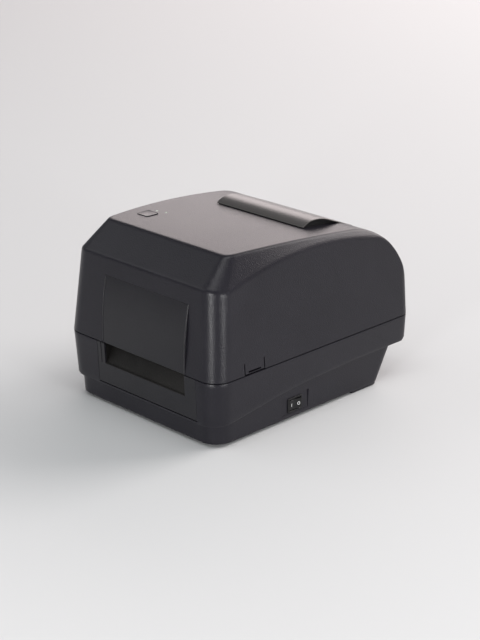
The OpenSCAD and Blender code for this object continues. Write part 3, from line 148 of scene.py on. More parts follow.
def open_edges(bm):
    return sum(1 for e in bm.edges if not e.is_manifold)

def turn_outwards(bm, inside=None):
    """Points all normals outwards. An open skin also needs a point that lies behind it."""
    bmesh.ops.recalc_face_normals(bm, faces=bm.faces)
    if inside and sum(f.normal.dot(f.calc_center_median() - Vector(inside)) for f in bm.faces) < 0:
        bmesh.ops.reverse_faces(bm, faces=bm.faces)

# %% Cutting and thickening
def take_result(obj, *others):
    """Gives an object's mesh after its modifiers, and removes the scratch objects."""
    result = bmesh.new()
    result.from_object(obj, bpy.context.evaluated_depsgraph_get())
    for scrap in (obj, *others):
        mesh = scrap.data
        bpy.data.objects.remove(scrap)
        bpy.data.meshes.remove(mesh)
    return result

def cut_away(bm, cutters):
    """Takes the closed shapes in one bmesh out of another."""
    turn_outwards(cutters)
    body, tool = [new_object("scrap", mesh_from(part, "scrap")) for part in (bm, cutters)]
    cut = body.modifiers.new("cut", "BOOLEAN")
    cut.operation = "DIFFERENCE"
    cut.solver = "MANIFOLD"
    cut.object = tool
    return take_result(body, tool)

def thicken(bm, depth):
    """Gives an open skin its wall, measured inwards."""
    obj = new_object("scrap", mesh_from(bm, "scrap"))
    wall_maker = obj.modifiers.new("wall", "SOLIDIFY")
    wall_maker.thickness = depth
    wall_maker.offset = -1.0
    wall_maker.use_even_offset = True
    return take_result(obj)

# %% [markdown]
# The housing's main sizes, in millimetres. The walls of the cover lean in, the top is a very flat
# arc that runs over into a tight one at the back, and the front has a sloping brow. Each side of
# the top is cut off by a slightly curved bevel.

# %% Sizes of the housing
half_w, half_d, seam_z, wall = 113.0, 145.0, 72.0, 2.5
front_corner_r, rear_corner_r = 20.0, 10.0
base_top_z, cover_low_z = 71.5, 72.5
shoulder_h, cover_lean, brow_d, crown_r, back_r = 91.0, 8.0, 31.0, 1300.0, 91.0
crest_z, shoulder_z = 190.0, 163.0
crown_y, crown_z, back_shift = -87.0, crest_z - crown_r, 0.1
back_y = half_d - back_r + back_shift
back_z = crown_z + back_shift + math.sqrt((crown_r - back_r) ** 2 - (back_y - crown_y) ** 2)
blend_y = crown_y + (back_y - crown_y) * crown_r / (crown_r - back_r)
brow_y = -half_d + cover_lean

def lean_at(z):
    return cover_lean * (z - seam_z) / shoulder_h

def crown_top(y):
    return crown_z + np.sqrt(crown_r ** 2 - (y - crown_y) ** 2)

brow_angle = math.atan2(crown_top(brow_y + brow_d) - shoulder_z, brow_d)
wall_angle = math.atan2(cover_lean, shoulder_h)
bevel_angle, arch_z, arch_r = math.radians(58.5), 178.5, 450.0
bevel_r = arch_r / math.cos(bevel_angle)
bevel_v = (half_w - lean_at(arch_z)) * math.sin(bevel_angle) + arch_z * math.cos(bevel_angle) - bevel_r
print("brow degrees", round(math.degrees(brow_angle), 1), "back centre", round(back_y, 1), round(back_z, 1))

# %% [markdown]
# The cover could be cut from a block by a plane for each face, but then its edges would be
# knife-sharp, and the real ones are soft. Instead each face is written as a distance, and the
# distances are joined with a smooth maximum, which rounds every edge by a chosen amount. The
# corner between brow and bevel is the widest, and it narrows towards the top.

# %% The cover's form as a distance
corner_low, corner_high, top_edge, wall_edge = 14.0, 7.0, 1.9, 1.6

def smooth_max(a, b, k):
    h = np.maximum(k - np.abs(a - b), 0.0) / k
    return np.maximum(a, b) + h * h * k * 0.25

def plan_gap(x, y, set_in):
    r = np.where(y < 0.0, front_corner_r, rear_corner_r)
    front = -half_d + set_in
    mid, hy = (front + half_d) / 2, (half_d - front) / 2
    qx, qy = np.abs(x) - (half_w - set_in - r), np.abs(y - mid) - (hy - r)
    out = np.hypot(np.maximum(qx, 0.0), np.maximum(qy, 0.0)) + np.minimum(np.maximum(qx, qy), 0.0) - r
    return out * math.cos(wall_angle)

def cover_faces(p):
    x, y, z = p[:, 0], p[:, 1], p[:, 2]
    crown = np.hypot(y - crown_y, z - crown_z) - crown_r
    back = np.where(z > back_z, np.hypot(y - back_y, z - back_z) - back_r, y - back_y - back_r)
    top = np.where(y < blend_y, crown, np.maximum(crown, back))
    brow = math.cos(brow_angle) * (z - shoulder_z) - math.sin(brow_angle) * (y - brow_y)
    side = np.hypot(np.abs(x) * math.sin(bevel_angle) + z * math.cos(bevel_angle) - bevel_v, y) - bevel_r
    corner = np.interp(z, (shoulder_z, crest_z), (corner_low, corner_high))
    return smooth_max(brow, side, corner), top, plan_gap(x, y, lean_at(z))

def cover_gap(p):
    slopes, top, walls = cover_faces(p)
    return smooth_max(smooth_max(slopes, top, top_edge), walls, wall_edge)

# %% [markdown]
# A box of even grid cells is then shrunk onto that form: each vertex slides along its own line
# towards the inside until the distance is zero, which forty halvings find.

# %% A box of grid cells, shrunk onto the cover
def spots(bm):
    return np.array([v.co[:] for v in bm.verts])

def move_to(bm, places):
    for v, co in zip(bm.verts, places):
        v.co = co

def shrink_onto(points, centres, gap):
    near, far = np.zeros(len(points)), np.ones(len(points))
    for _ in range(40):
        mid = (near + far) / 2
        inside = gap(centres + (points - centres) * mid[:, None]) < 0.0
        near, far = np.where(inside, mid, near), np.where(inside, far, mid)
    return centres + (points - centres) * near[:, None]

def grid_box(counts):
    bm = bmesh.new()
    bmesh.ops.create_cube(bm, size=2.0)
    for axis, n in enumerate(counts):
        along = [e for e in bm.edges if span(e, axis) > 1e-6]
        bmesh.ops.subdivide_edges(bm, edges=along, cuts=n - 1, use_grid_fill=True)
    return bm

margin, grid_top = 0.2, crest_z + 3.0
core_low, core_high = (-68.0, -92.0, -1e3), (68.0, 85.0, 128.0)

def cover_skin(counts, gap):
    bm = grid_box(counts)
    under = [f for f in bm.faces if all(v.co.z < -0.999 for v in f.verts)]
    bmesh.ops.delete(bm, geom=under, context="FACES")
    grid = spots(bm) * (half_w + margin, half_d + margin, (grid_top - cover_low_z) / 2)
    grid[:, 2] += (grid_top + cover_low_z) / 2
    move_to(bm, shrink_onto(grid, np.clip(grid, core_low, core_high), gap))
    turn_outwards(bm, inside=(0, 0, 120))
    return bm

cover = cover_skin((86, 110, 46), cover_gap)
print("cover skin", len(cover.faces), "faces, top", round(max(v.co.z for v in cover.verts), 2))

# %% [markdown]
# Cells of 2.6 mm are too coarse for an edge that is rounded by about 2 mm. The cells near such an
# edge are split once, and their new vertices are moved along the form's slope until they lie on it.

# %% Finer cells along the edges
edge_zone, probe, least_slope = 3.6, 0.01, 0.05

def settle(points, gap):
    for _ in range(4):
        rates = [(gap(points + e) - gap(points - e)) / (2 * probe) for e in np.eye(3) * probe]
        slope = np.stack(rates, axis=1)
        slope[:, 2] = np.where(points[:, 2] < cover_low_z + probe, 0.0, slope[:, 2])
        points = points - slope * (gap(points) / np.maximum((slope ** 2).sum(1), least_slope))[:, None]
    return points

cover.verts.ensure_lookup_table()
cover.verts.index_update()
levels = np.sort(np.array(cover_faces(spots(cover))), axis=0)
near_edge = levels[-1] - levels[-2] < edge_zone
fine = [e for e in cover.edges if any(near_edge[v.index] for f in e.link_faces for v in f.verts)]
bmesh.ops.subdivide_edges(cover, edges=fine, cuts=1, use_grid_fill=True)
move_to(cover, settle(spots(cover), cover_gap))
print("with finer edges", len(cover.faces), "faces")

# %% [markdown]
# The real cover is a shell 2.5 mm thick. A coarser skin on the same form, smaller by that much and
# turned inside out, is its inner face, and bridge_loops closes the rim between the two.

# %% Inner face of the cover
def join_skins(outer, inner):
    """Adds a skin turned inwards and bridges the two open rims."""
    bmesh.ops.reverse_faces(inner, faces=inner.faces)
    mesh = mesh_from(inner, "scrap")
    outer.from_mesh(mesh)
    bpy.data.meshes.remove(mesh)
    rim = bmesh.ops.bridge_loops(outer, edges=[e for e in outer.edges if e.is_boundary])["faces"]
    turn_outwards(outer)
    print("rim faces", len(rim), "open edges", open_edges(outer))

join_skins(cover, cover_skin((40, 50, 22), lambda p: cover_gap(p) + wall))

# %% [markdown]
# Then the openings are cut: one for the raised front panel, one for each release tab, those of the
# feed button and its two lights, and the window under the hood. What fits in an opening keeps its
# own gap round it. The cutters only have to reach through the wall, so they share their ends.

# %% Openings of the cover
path_left, path_right = -54.0, 70.0
insert_h, insert_gap = 71.5, 0.15
tab_y, tab_w, tab_top, tab_gap = -91.0, 26.0, 84.6, 1.2
feed_x, feed_y, feed_w, feed_corner, feed_gap = -68.5, -67.0, 16.5, 2.0, 0.3
lens_places, lens_r, lens_gap = ((-70.0, -52.6), (-59.0, -49.8)), 1.55, 0.1
hood_x, hood_w, hood_y, hood_l = 8.0, 126.0, 19.5, 76.0
window_in, window_rear_in = 8.0, 16.0
front_out, front_in, side_in, side_out, below = -half_d - 5, -129, 104, 125, 60
top_in, top_out = 150, 210

def add_key(bm, x, y, low_z, high_z, width, corner):
    """Adds a square block with rounded upright edges."""
    half = width / 2
    block = set(add_box(bm, (x - half, y - half, low_z), (x + half, y + half, high_z)))
    round_edges(bm, [e for e in bm.edges if block.issuperset(e.verts) and span(e, 2) > 0.1], corner)

cutters = bmesh.new()
panel_top = cover_low_z + insert_h + insert_gap
add_box(cutters, (path_left - insert_gap, front_out, below), (path_right + insert_gap, front_in, panel_top))
reach = tab_w / 2 + tab_gap
for s in (-1, 1):
    add_box(cutters, (s * side_in, tab_y - reach, below), (s * side_out, tab_y + reach, tab_top))
add_key(cutters, feed_x, feed_y, top_in, top_out, feed_w + 2 * feed_gap, feed_corner + feed_gap)
for x, y in lens_places:
    add_rod(cutters, (x, y, top_in), (0, 0, 1), lens_r + lens_gap, top_out - top_in)
window_half = hood_w / 2 - window_in
window_front, window_rear = hood_y + window_in, hood_y + hood_l - window_rear_in
add_box(cutters, (hood_x - window_half, window_front, top_in), (hood_x + window_half, window_rear, top_out))
cover = cut_away(cover, cutters)
finish_piece("cover_shell", cover, "cover", ("top_cover",), angle=40)

# %% [markdown]
# The raised panel in the cover's front is a slab with a cylindrical face. Its section starts as a
# single vertex at the bottom edge, which spin carries along the arc; extrude then gives it its
# width and its depth.

# %% Raised front panel
insert_bulge, arc_steps = 2.25, 28
insert_half = insert_h / 2 / math.cos(wall_angle)
insert_r = (insert_half ** 2 + insert_bulge ** 2) / (2 * insert_bulge)
insert_mid = Vector((0, -half_d + lean_at(cover_low_z + insert_h / 2), cover_low_z + insert_h / 2))
inward = Vector((0, math.cos(wall_angle), -math.sin(wall_angle)))
upward = Vector((0, math.sin(wall_angle), math.cos(wall_angle)))
low_end = insert_mid - upward * insert_half
arc_centre = insert_mid + inward * (insert_r - insert_bulge)
swing = 2 * math.asin(insert_half / insert_r)

panel = bmesh.new()
foot = panel.verts.new(low_end + Vector((path_left + insert_gap, 0, 0)))
spin_x(panel, [foot], arc_centre, -swing, arc_steps)
strip = bmesh.ops.extrude_edge_only(panel, edges=panel.edges[:])["geom"]
slide(panel, strip, (path_right - path_left - 2 * insert_gap, 0, 0))
slab = bmesh.ops.extrude_face_region(panel, geom=panel.faces[:])["geom"]
slide(panel, slab, inward * (wall + insert_bulge))
turn_outwards(panel)
finish_piece("front_panel", panel, "cover", ("front_insert",), bevel=0.7, segments=3, angle=50)

# %% [markdown]
# A thin rim runs along each upright edge of the panel. It is a small square carried along the same
# arc, turned so that one flat faces the light at the right and shows as a fine bright line.

# %% Rims of the front panel
rim_size, rim_turn, rim_sunk = 0.8, math.radians(-18.5), 0.2
rims = bmesh.new()
rim_foot = low_end + inward * rim_sunk
outward = (rim_foot - arc_centre).normalized()
upright = Matrix(((1, 0, 0), outward, Vector((1, 0, 0)).cross(outward))).transposed().to_4x4()
for x in (path_left + 1.1, path_right - 0.9):
    place = Matrix.Translation(rim_foot + Vector((x, 0, 0))) @ upright @ Matrix.Rotation(rim_turn, 4, "Z")
    square = bmesh.ops.create_circle(rims, cap_ends=True, segments=4, radius=rim_size, matrix=place)["verts"]
    corners = set(square)
    sides = [e for e in rims.edges if corners.issuperset(e.verts)]
    faces = [f for f in rims.faces if corners.issuperset(f.verts)]
    spin_x(rims, [*square, *sides, *faces], arc_centre, -swing, arc_steps)
turn_outwards(rims)
print("rims' open edges", open_edges(rims), "top", round(max(v.co.z for v in rims.verts), 1))
finish_piece("panel_rims", rims, "cover", bevel=0.12, angle=60)

# %% [markdown]
# The hood over the label roll's window rises from the top in a short nose and comes down in a long
# tail. Its section is again one vertex that spin carries along two arcs. Its front lip stands 1 mm
# clear of the top, and the end walls stand 3 mm in, which makes the dark lines under its rim.

# %% Hood
hood_h, lip_gap, hood_t, nose_d, crest_r, tail_angle = 6.2, 1.1, 1.2, 16.5, 60.0, math.radians(21.8)
end_in, end_drop, end_smaller = 3.0, 3.0, hood_t * 0.6
nose_r = (nose_d ** 2 + (hood_h - lip_gap) ** 2) / (2 * (hood_h - lip_gap))
nose_angle = math.asin(nose_d / nose_r)
hood_crest_z = float(crown_top(hood_y)) + hood_h
crest_y = hood_y + nose_d

def rearmost(bm, x):
    return max((v for v in bm.verts if abs(v.co.x - x) < 1e-3), key=lambda v: v.co.y)

def hood_section(bm, x, smaller=0.0, drop=0.0):
    """Draws the hood's section at one x and gives its two end vertices."""
    arc_z, arc_r = hood_crest_z - nose_r, nose_r - smaller
    front = bm.verts.new((x, crest_y - arc_r * math.sin(nose_angle), arc_z + arc_r * math.cos(nose_angle)))
    lead = front
    if drop:
        lead = bm.verts.new(front.co - Vector((0, 0, drop)))
        bm.edges.new((lead, front))
    spin_x(bm, [front], (x, crest_y, arc_z), -nose_angle, 10)
    spin_x(bm, [rearmost(bm, x)], (x, crest_y, hood_crest_z - crest_r), -tail_angle, 8)
    last = rearmost(bm, x)
    reach = hood_y + hood_l - last.co.y
    tail = bm.verts.new(last.co + Vector((0, reach, -reach * math.tan(tail_angle))))
    bm.edges.new((last, tail))
    return lead, tail

hood = bmesh.new()
hood_section(hood, hood_x - hood_w / 2)
slide(hood, bmesh.ops.extrude_edge_only(hood, edges=hood.edges[:])["geom"], (hood_w, 0, 0))
turn_outwards(hood, inside=(hood_x, crest_y, 0))
hood = thicken(hood, hood_t)
finish_piece("hood_roof", hood, "cover", ("roll_hood",), bevel=0.45, angle=40)

ends = bmesh.new()
for x in (hood_x - hood_w / 2 + end_in, hood_x + hood_w / 2 - end_in - hood_t):
    lead, tail = hood_section(ends, x, end_smaller, end_drop)
    ends.edges.new((tail, lead))
flats = bmesh.ops.edgeloop_fill(ends, edges=ends.edges[:])["faces"]
slide(ends, bmesh.ops.extrude_face_region(ends, geom=flats)["geom"], (hood_t, 0, 0))
turn_outwards(ends)
finish_piece("hood_ends", ends, "cover")

# %% [markdown]
# The base is a tray with leaning walls. Below a line that climbs to the rear its lower part stands
# back, and at the rear it slopes in under an overhang. A flat grid is wrapped round the plan
# outline like a label round a tin: one direction of the grid runs round the housing, the other
# runs down the wall, with rows packed together where the wall turns a corner.

# %% Plan outline and crease line of the base
side_counts = (34, 8, 64, 6, 34, 6, 64, 8)
around = sum(side_counts)
crease_y = -half_d + 2 * half_d * np.array([0.0, 0.08, 0.17, 0.3, 0.45, 0.7, 0.97, 1.0])
crease_z = np.array([23.4, 25.8, 29.4, 34.9, 39.0, 42.0, 42.0, 48.3])
soft_reach, soft_width, rise_from_y, rise_h = 9.0, 5.0, 135.0, 6.3

def crease_at(y):
    spread = np.linspace(-soft_reach, soft_reach, 13)
    weight = np.exp(-(spread / soft_width) ** 2)
    lines = [np.interp(y + d, crease_y[:-1], crease_z[:-1]) for d in spread]
    soft = sum(w * line for w, line in zip(weight, lines)) / weight.sum()
    return soft + np.interp(y, [rise_from_y, half_d], [0.0, rise_h])

@functools.lru_cache(None)
def outline(set_in, rear_y, shell=0.0):
    """The plan as a ring of points: four straights, each with the rounded corner after it."""
    hx, front = half_w - set_in - shell, -half_d + set_in + shell
    rf, rr = front_corner_r - shell, rear_corner_r - shell
    corners = ((hx - rf, front + rf, rf), (hx - rr, rear_y - rr, rr))
    corners += ((rr - hx, rear_y - rr, rr), (rf - hx, front + rf, rf))
    def corner_point(k, share):
        x, y, r = corners[k]
        turn = math.radians(90 * (k + share - 1))
        return x + r * math.cos(turn), y + r * math.sin(turn)
    pts = []
    for k in range(4):
        (ax, ay), (bx, by) = corner_point(k - 1, 1), corner_point(k, 0)
        n, m = side_counts[2 * k:2 * k + 2]
        pts += [(ax + (bx - ax) * i / n, ay + (by - ay) * i / n) for i in range(n)]
        pts += [corner_point(k, i / m) for i in range(m)]
    return np.array(pts)

# %% How far the base's walls stand in at each height
underside_z, foot_top_z, edge_h, edge_in, crease_in = 3.0, 4.6, 1.2, 1.1, 1.5
upper_lean, lower_foot_in, lower_lean, lower_h = 2.5, 6.8, 1.8, 42.5
neck_z, neck_foot_y, neck_top_y, overhang_y = 42.0, 106.0, 125.0, 130.0

def upper_in(z):
    return upper_lean * (seam_z - z) / (seam_z - crease_z[0])

def lower_in(z):
    return lower_foot_in - lower_lean * (z - underside_z) / lower_h

def neck_y(z):
    return np.interp(z, [underside_z, neck_z], [neck_foot_y, neck_top_y])

# %% [markdown]
# A row is named by its part of the wall and by how far down that part it lies. Two more numbers
# lift it and move it inwards, which rounds the edges. The inner skin is made of fewer such rows,
# moved in by the wall.

# %% Rows of the base, from the seam down to the underside
def base_row(kind, share=0.0, lift=0.0, extra=0.0, shell=0.0):
    """Places of one row all round, with shell as how far it stands in from the outer skin."""
    flat = outline(crease_in, half_d)
    line = crease_at(flat[:, 1]) + shell
    rear = np.full(around, half_d - shell - (extra if kind == "crease" else 0.0))
    if kind == "upper":
        z = (base_top_z - lift) + (line + edge_h - base_top_z + lift) * share
        inset = upper_in(z) + extra
    elif kind == "crease":
        z = line + lift
        inset = upper_in(z) + extra
    elif kind == "ledge":
        z = line
        rear += (neck_top_y - half_d) * share - edge_in * (1 - share)
        inset = (upper_in(z) + edge_in) * (1 - share) + lower_in(z) * share
    elif kind == "lower":
        top = np.minimum(line, neck_z + shell)
        z = top + (foot_top_z + shell - top) * share
        rear = neck_y(z) - shell
        inset = lower_in(z)
    else:
        z = np.full(around, underside_z + lift + shell)
        rear = neck_y(z) - extra - shell
        inset = lower_in(z) + extra
    plans = [outline(round(a, 2), round(b, 2), shell) for a, b in zip(inset, rear)]
    xy = np.array([plan[i] for i, plan in enumerate(plans)])
    if kind == "ledge":
        z = np.where(flat[:, 1] > overhang_y, crease_at(xy[:, 1]) + shell, z)
    return np.column_stack([xy, z])

outer_rows = [("upper", 0.0, 0.0, 0.5), ("upper", 0.0, 0.15, 0.15), ("upper", 0.0, 0.5)]
outer_rows += [("upper", f, 0.5) for f in (0.12, 0.25, 0.38, 0.5, 0.62, 0.75, 0.87)]
outer_rows += [("crease", 0.0, edge_h), ("crease", 0.0, 0.35, 0.3), ("crease", 0.0, 0.0, edge_in)]
outer_rows += [("ledge", f) for f in (0.35, 0.7, 0.9)]
outer_rows += [("lower", f) for f in (0.03, 0.1, 0.2, 0.32, 0.45, 0.58, 0.7, 0.82, 0.93)]
outer_rows += [("foot", 0.0, 1.0), ("foot", 0.0, 0.3, 0.3), ("foot", 0.0, 0.0, 1.0)]
inner_rows = [("upper",), ("upper", 0.5), ("crease",), ("ledge", 0.9)]
inner_rows += [("lower", f) for f in (0.05, 0.35, 0.7)] + [("foot",)]
print("base rows", len(outer_rows), "outside and", len(inner_rows), "inside, points round", around)

# %% [markdown]
# Each set of rows is laid over a grid whose two ends are merged into a closed ring, and its
# underside is filled. The inner skin is joined to the outer one at the rim, as on the cover.

# %% Skins of the base
def ring_place(v):
    """Which point of the outline a vertex of the flat grid goes to."""
    return round((v.co.x + 1) / 2 * around) % around

def row_skin(rows, shell):
    places = [base_row(*row, shell=shell) for row in rows]
    bm = bmesh.new()
    bmesh.ops.create_grid(bm, x_segments=around, y_segments=len(rows) - 1, size=1.0)
    for v in bm.verts:
        row = round((1 - v.co.y) / 2 * (len(rows) - 1))
        v.co = places[row][ring_place(v)]
    bmesh.ops.remove_doubles(bm, verts=bm.verts, dist=0.001)
    low = [e for e in bm.edges if e.is_boundary and e.verts[0].co.z < neck_z]
    bottom = bmesh.ops.holes_fill(bm, edges=low, sides=0)["faces"]
    bmesh.ops.triangulate(bm, faces=bottom)
    turn_outwards(bm, inside=(0, 0, 70))
    return bm

base = row_skin(outer_rows, 0.0)
join_skins(base, row_skin(inner_rows, wall))

# %% [markdown]
# The openings follow: the one for the exit panel and the switch's shallow recess, then the switch's
# hole in that recess, the connector bay, and the slot for fan-fold labels.

# %% Openings of the base
plate_left, plate_right, plate_low, plate_gap, plate_low_gap = -63.0, 84.0, 26.8, 0.3, 0.9
plate_room_y = -137.5
switch_y, switch_z, hole_half_y, hole_half_z, hole_in = -27.0, 17.0, 9.2, 6.9, 90
recess_x, recess_y, recess_z = 106.1, (-46, -7), (8, 28)
bay_left, bay_right, bay_low, bay_high = -25.0, 45.0, 10.0, 28.0
slot_y, slot_low, slot_high, bay_in, rear_out, above_base = 139, 53, 62, 95, 150, 90

cutters = bmesh.new()
opening_foot = (plate_left - plate_gap, front_out, plate_low - plate_low_gap)
add_box(cutters, opening_foot, (plate_right + plate_gap, plate_room_y, above_base))
add_box(cutters, (recess_x, recess_y[0], recess_z[0]), (side_out, recess_y[1], recess_z[1]))
base = cut_away(base, cutters)

cutters = bmesh.new()
hole_low = (hole_in, switch_y - hole_half_y, switch_z - hole_half_z)
add_box(cutters, hole_low, (side_out, switch_y + hole_half_y, switch_z + hole_half_z))
add_box(cutters, (bay_left, bay_in, bay_low), (bay_right, rear_out, bay_high))
add_box(cutters, (path_left, slot_y, slot_low), (path_right, rear_out, slot_high))
base = cut_away(base, cutters)
finish_piece("base_shell", base, "base", ("base_case",), angle=40)

# %% [markdown]
# Between the base and the cover a gap of 1 mm runs round the printer. On the real one a tongue on
# the base closes it from inside, so that it is a black line and not a slit that light comes
# through. It is left out at the rear, at the exit, and behind the release tabs, which swing inwards
# there. The low pad under the rear, with its rounded corners, comes next.

# %% Tongue in the seam, rear pad
tongue_in, tongue_t, tongue_low, tongue_high, tongue_rear = 3.0, 1.0, 66.0, 74.4, 126.0
tab_room, exit_room_left, exit_room_right = 17, 10, 14
tongue = bmesh.new()
bmesh.ops.create_grid(tongue, x_segments=around, y_segments=1, size=1.0)
ring = outline(tongue_in, half_d)
for v in tongue.verts:
    v.co = (*ring[ring_place(v)], tongue_low if v.co.y < 0 else tongue_high)
bmesh.ops.remove_doubles(tongue, verts=tongue.verts, dist=0.001)

def left_open(spot):
    at_tab = abs(spot.x) > side_in and abs(spot.y - tab_y) < tab_room
    beside_exit = path_left - exit_room_left < spot.x < path_right + exit_room_right
    return spot.y > tongue_rear or at_tab or (spot.y < front_in and beside_exit)

gaps = [f for f in tongue.faces if left_open(f.calc_center_median())]
bmesh.ops.delete(tongue, geom=gaps, context="FACES")
turn_outwards(tongue)
tongue = thicken(tongue, tongue_t)
finish_piece("seam_tongue", tongue, "base")

pad_half, pad_front, pad_rear, pad_low, pad_high, pad_corner_r = 105.8, 62.0, 105.0, 0.6, 4.0, 9.0
pad = bmesh.new()
add_box(pad, (-pad_half, pad_front, pad_low), (pad_half, pad_rear, pad_high))
round_edges(pad, [e for e in pad.edges if e.verts[0].co.y > pad_front and span(e, 2) > 1], pad_corner_r)
finish_piece("rear_pad", pad, "base", bevel=0.8, segments=3)

# %% [markdown]
# The exit panel is a black plate set flush into the base's front, with a narrow gap beside the
# exit's left jamb. Labels come out over its round lip. Behind the lip a short slope leads up to
# the paper path, between two cheeks.

# %% Exit panel, lip and chute
exit_left, exit_right, exit_low, plate_t = -52.0, 68.0, 49.0, 2.5
jamb_far, jamb_near, jamb_slant = 6.5, 5.0, 1.0
plate = bmesh.new()
for v in add_box(plate, (plate_left, 0, plate_low), (plate_right, 1, base_top_z)):
    v.co.y = -half_d + upper_in(v.co.z) + (plate_t if v.co.y > 0.5 else 0.0)
cutters = bmesh.new()
add_box(cutters, (exit_left, front_out, exit_low), (exit_right, front_in, above_base))
jamb_foot = (exit_left - jamb_far, front_out, exit_low)
for v in add_box(cutters, jamb_foot, (exit_left - jamb_near, front_in, above_base)):
    if v.co.x < exit_left - jamb_near - 1 and v.co.z < base_top_z:
        v.co.x += jamb_slant
plate = cut_away(plate, cutters)
finish_piece("exit_plate", plate, "base", ("exit_panel",), bevel=0.5, segments=3)

lip_in, lip_r, cheek_w, cheek_top = 1.25, 1.6, 2.0, 69.5
cheek_y, slope_y, chute_rear, slope_t, steepness = -141.9, -141.5, -131.0, 3.0, 1.75
chute = bmesh.new()
lip_start = (exit_left, -half_d + lip_in + lip_r, exit_low - lip_r / 2)
add_rod(chute, lip_start, (1, 0, 0), lip_r, exit_right - exit_left, sides=40)
for x in (exit_left - cheek_w, exit_right):
    add_box(chute, (x, cheek_y, exit_low - 2), (x + cheek_w, chute_rear, cheek_top))
for v in add_box(chute, (exit_left, slope_y, 0), (exit_right, chute_rear, 1)):
    v.co.z = exit_low + lip_r / 2 + steepness * (v.co.y - slope_y) - (0.0 if v.co.z > 0.5 else slope_t)
finish_piece("exit_chute", chute, "base")

# %% [markdown]
# The release tabs are cut from the cover's wall, so their faces are made the same way as the
# cover's: a small grid shrunk onto the same form, then given its thickness. A narrow finger slot
# runs along the lower edge. Behind the face are the rod that the tab swings on, the bridge to it,
# and the arm with its hook.

# %% Release tabs
tab_low, tab_out, core_share = cover_low_z + 0.8, half_w + 1.0, 0.6
finger_half, finger_low, finger_high = tab_w / 3, 74.1, 75.9
pivot_x, pivot_z, pivot_r, pivot_half, arm_half = 107.4, 84.5, 1.6, 16.6, 8.37
bridge, arm = ((102.9, 82.9), (110.6, 84.5)), ((102.9, 63.1), (104.5, 83.0))
hook = ((104.4, 63.1), (105.7, 65.6))

def tab_face(s):
    """A grid on the cover's wall at one side, with s as the sign of x."""
    tab = bmesh.new()
    bmesh.ops.create_grid(tab, x_segments=12, y_segments=8, size=1.0)
    low, high = np.array((tab_y - tab_w / 2, tab_low)), np.array((tab_y + tab_w / 2, tab_top))
    across = low + (high - low) * ((spots(tab)[:, :2] + 1) / 2)
    goal = np.column_stack([np.full(len(across), s * tab_out), across])
    move_to(tab, shrink_onto(goal, goal * (core_share, 1, 1), cover_gap))
    turn_outwards(tab, inside=(0, tab_y, tab_low))
    return tab

for s, side in ((-1, "left"), (1, "right")):
    tab = thicken(tab_face(s), wall)
    slot = bmesh.new()
    finger_foot = (s * side_in, tab_y - finger_half, finger_low)
    add_box(slot, finger_foot, (s * side_out, tab_y + finger_half, finger_high))
    tab = cut_away(tab, slot)
    add_rod(tab, (s * pivot_x, tab_y - pivot_half, pivot_z), (0, 1, 0), pivot_r, 2 * pivot_half)
    for (x0, z0), (x1, z1) in (bridge, arm, hook):
        add_box(tab, (s * x0, tab_y - arm_half, z0), (s * x1, tab_y + arm_half, z1))
    finish_piece("release_tab_" + side, tab, side + "_tab", ("latch_tab_" + side,), angle=40)

# %% [markdown]
# The feed button is a square key with rounded corners. Its face is slightly dished, which an inset
# and a small drop of the middle make, and its edge is bevelled. Two small round lights sit behind
# it.

# %% Feed button and lights
key_h, key_up, key_rim, key_dish, lens_h, lens_up = 5, 0.8, 1.2, 0.35, 4.0, 0.1
key = bmesh.new()
feed_z = float(crown_top(feed_y))
add_key(key, feed_x, feed_y, feed_z - key_h, feed_z + key_up, feed_w, feed_corner)
lid = [f for f in key.faces if f.normal.z > 0.9]
bmesh.ops.inset_region(key, faces=lid, thickness=key_rim, depth=0.0, use_even_offset=True)
lid = [f for f in key.faces if f.normal.z > 0.9 and len(f.verts) > 6]
bmesh.ops.translate(key, vec=(0, 0, -key_dish), verts=list({v for f in lid for v in f.verts}))
finish_piece("feed_key", key, "feed_button", ("feed_button",), bevel=0.35, segments=3, angle=30)

lamps = bmesh.new()
for x, y in lens_places:
    add_rod(lamps, (x, y, float(crown_top(y)) - lens_h), (0, 0, 1), lens_r, lens_h + lens_up)
finish_piece("status_lights", lamps, "cover", ("status_lens",), bevel=0.4, segments=3)

# %% [markdown]
# The power switch has a frame with a raised rim and a rocker whose two faces meet in a valley. The
# rocker is modelled upright and then turned by seven degrees, as it stands when it is off. It
# carries the usual ring and bar for off and on.

# %% Frame of the power switch
bezel_x, bezel_up, bezel_rim, bezel_d = 105.7, 1.6, 1.5, 12.0
bezel_half_y, bezel_half_z = 10.25, 7.75
bezel = bmesh.new()
bezel_low = (bezel_x - 0.1, switch_y - bezel_half_y, switch_z - bezel_half_z)
add_box(bezel, bezel_low, (bezel_x + bezel_up, switch_y + bezel_half_y, switch_z + bezel_half_z))
face = [f for f in bezel.faces if f.normal.x > 0.9]
bmesh.ops.inset_region(bezel, faces=face, thickness=bezel_rim, depth=0.0, use_even_offset=True)
face = max((f for f in bezel.faces if f.normal.x > 0.9), key=lambda f: f.calc_area())
down = bmesh.ops.extrude_face_region(bezel, geom=[face])["geom"]
bmesh.ops.delete(bezel, geom=[face], context="FACES_ONLY")
slide(bezel, down, (-bezel_d, 0, 0))
turn_outwards(bezel)
finish_piece("switch_bezel", bezel, "base", ("switch_frame",), bevel=0.3)

# %% Rocker and its marks
tilt, rocker_t, rocker_half_y, rocker_half_z, rocker_cut = math.radians(7), 4.0, 8.0, 5.3, 3.0
ring_y, ring_r, bore_r, mark_t, mark_x = 4.6, 1.7, 1.2, 0.24, 3.86
bar_far, bar_near, bar_half = 4.85, 4.35, 1.7

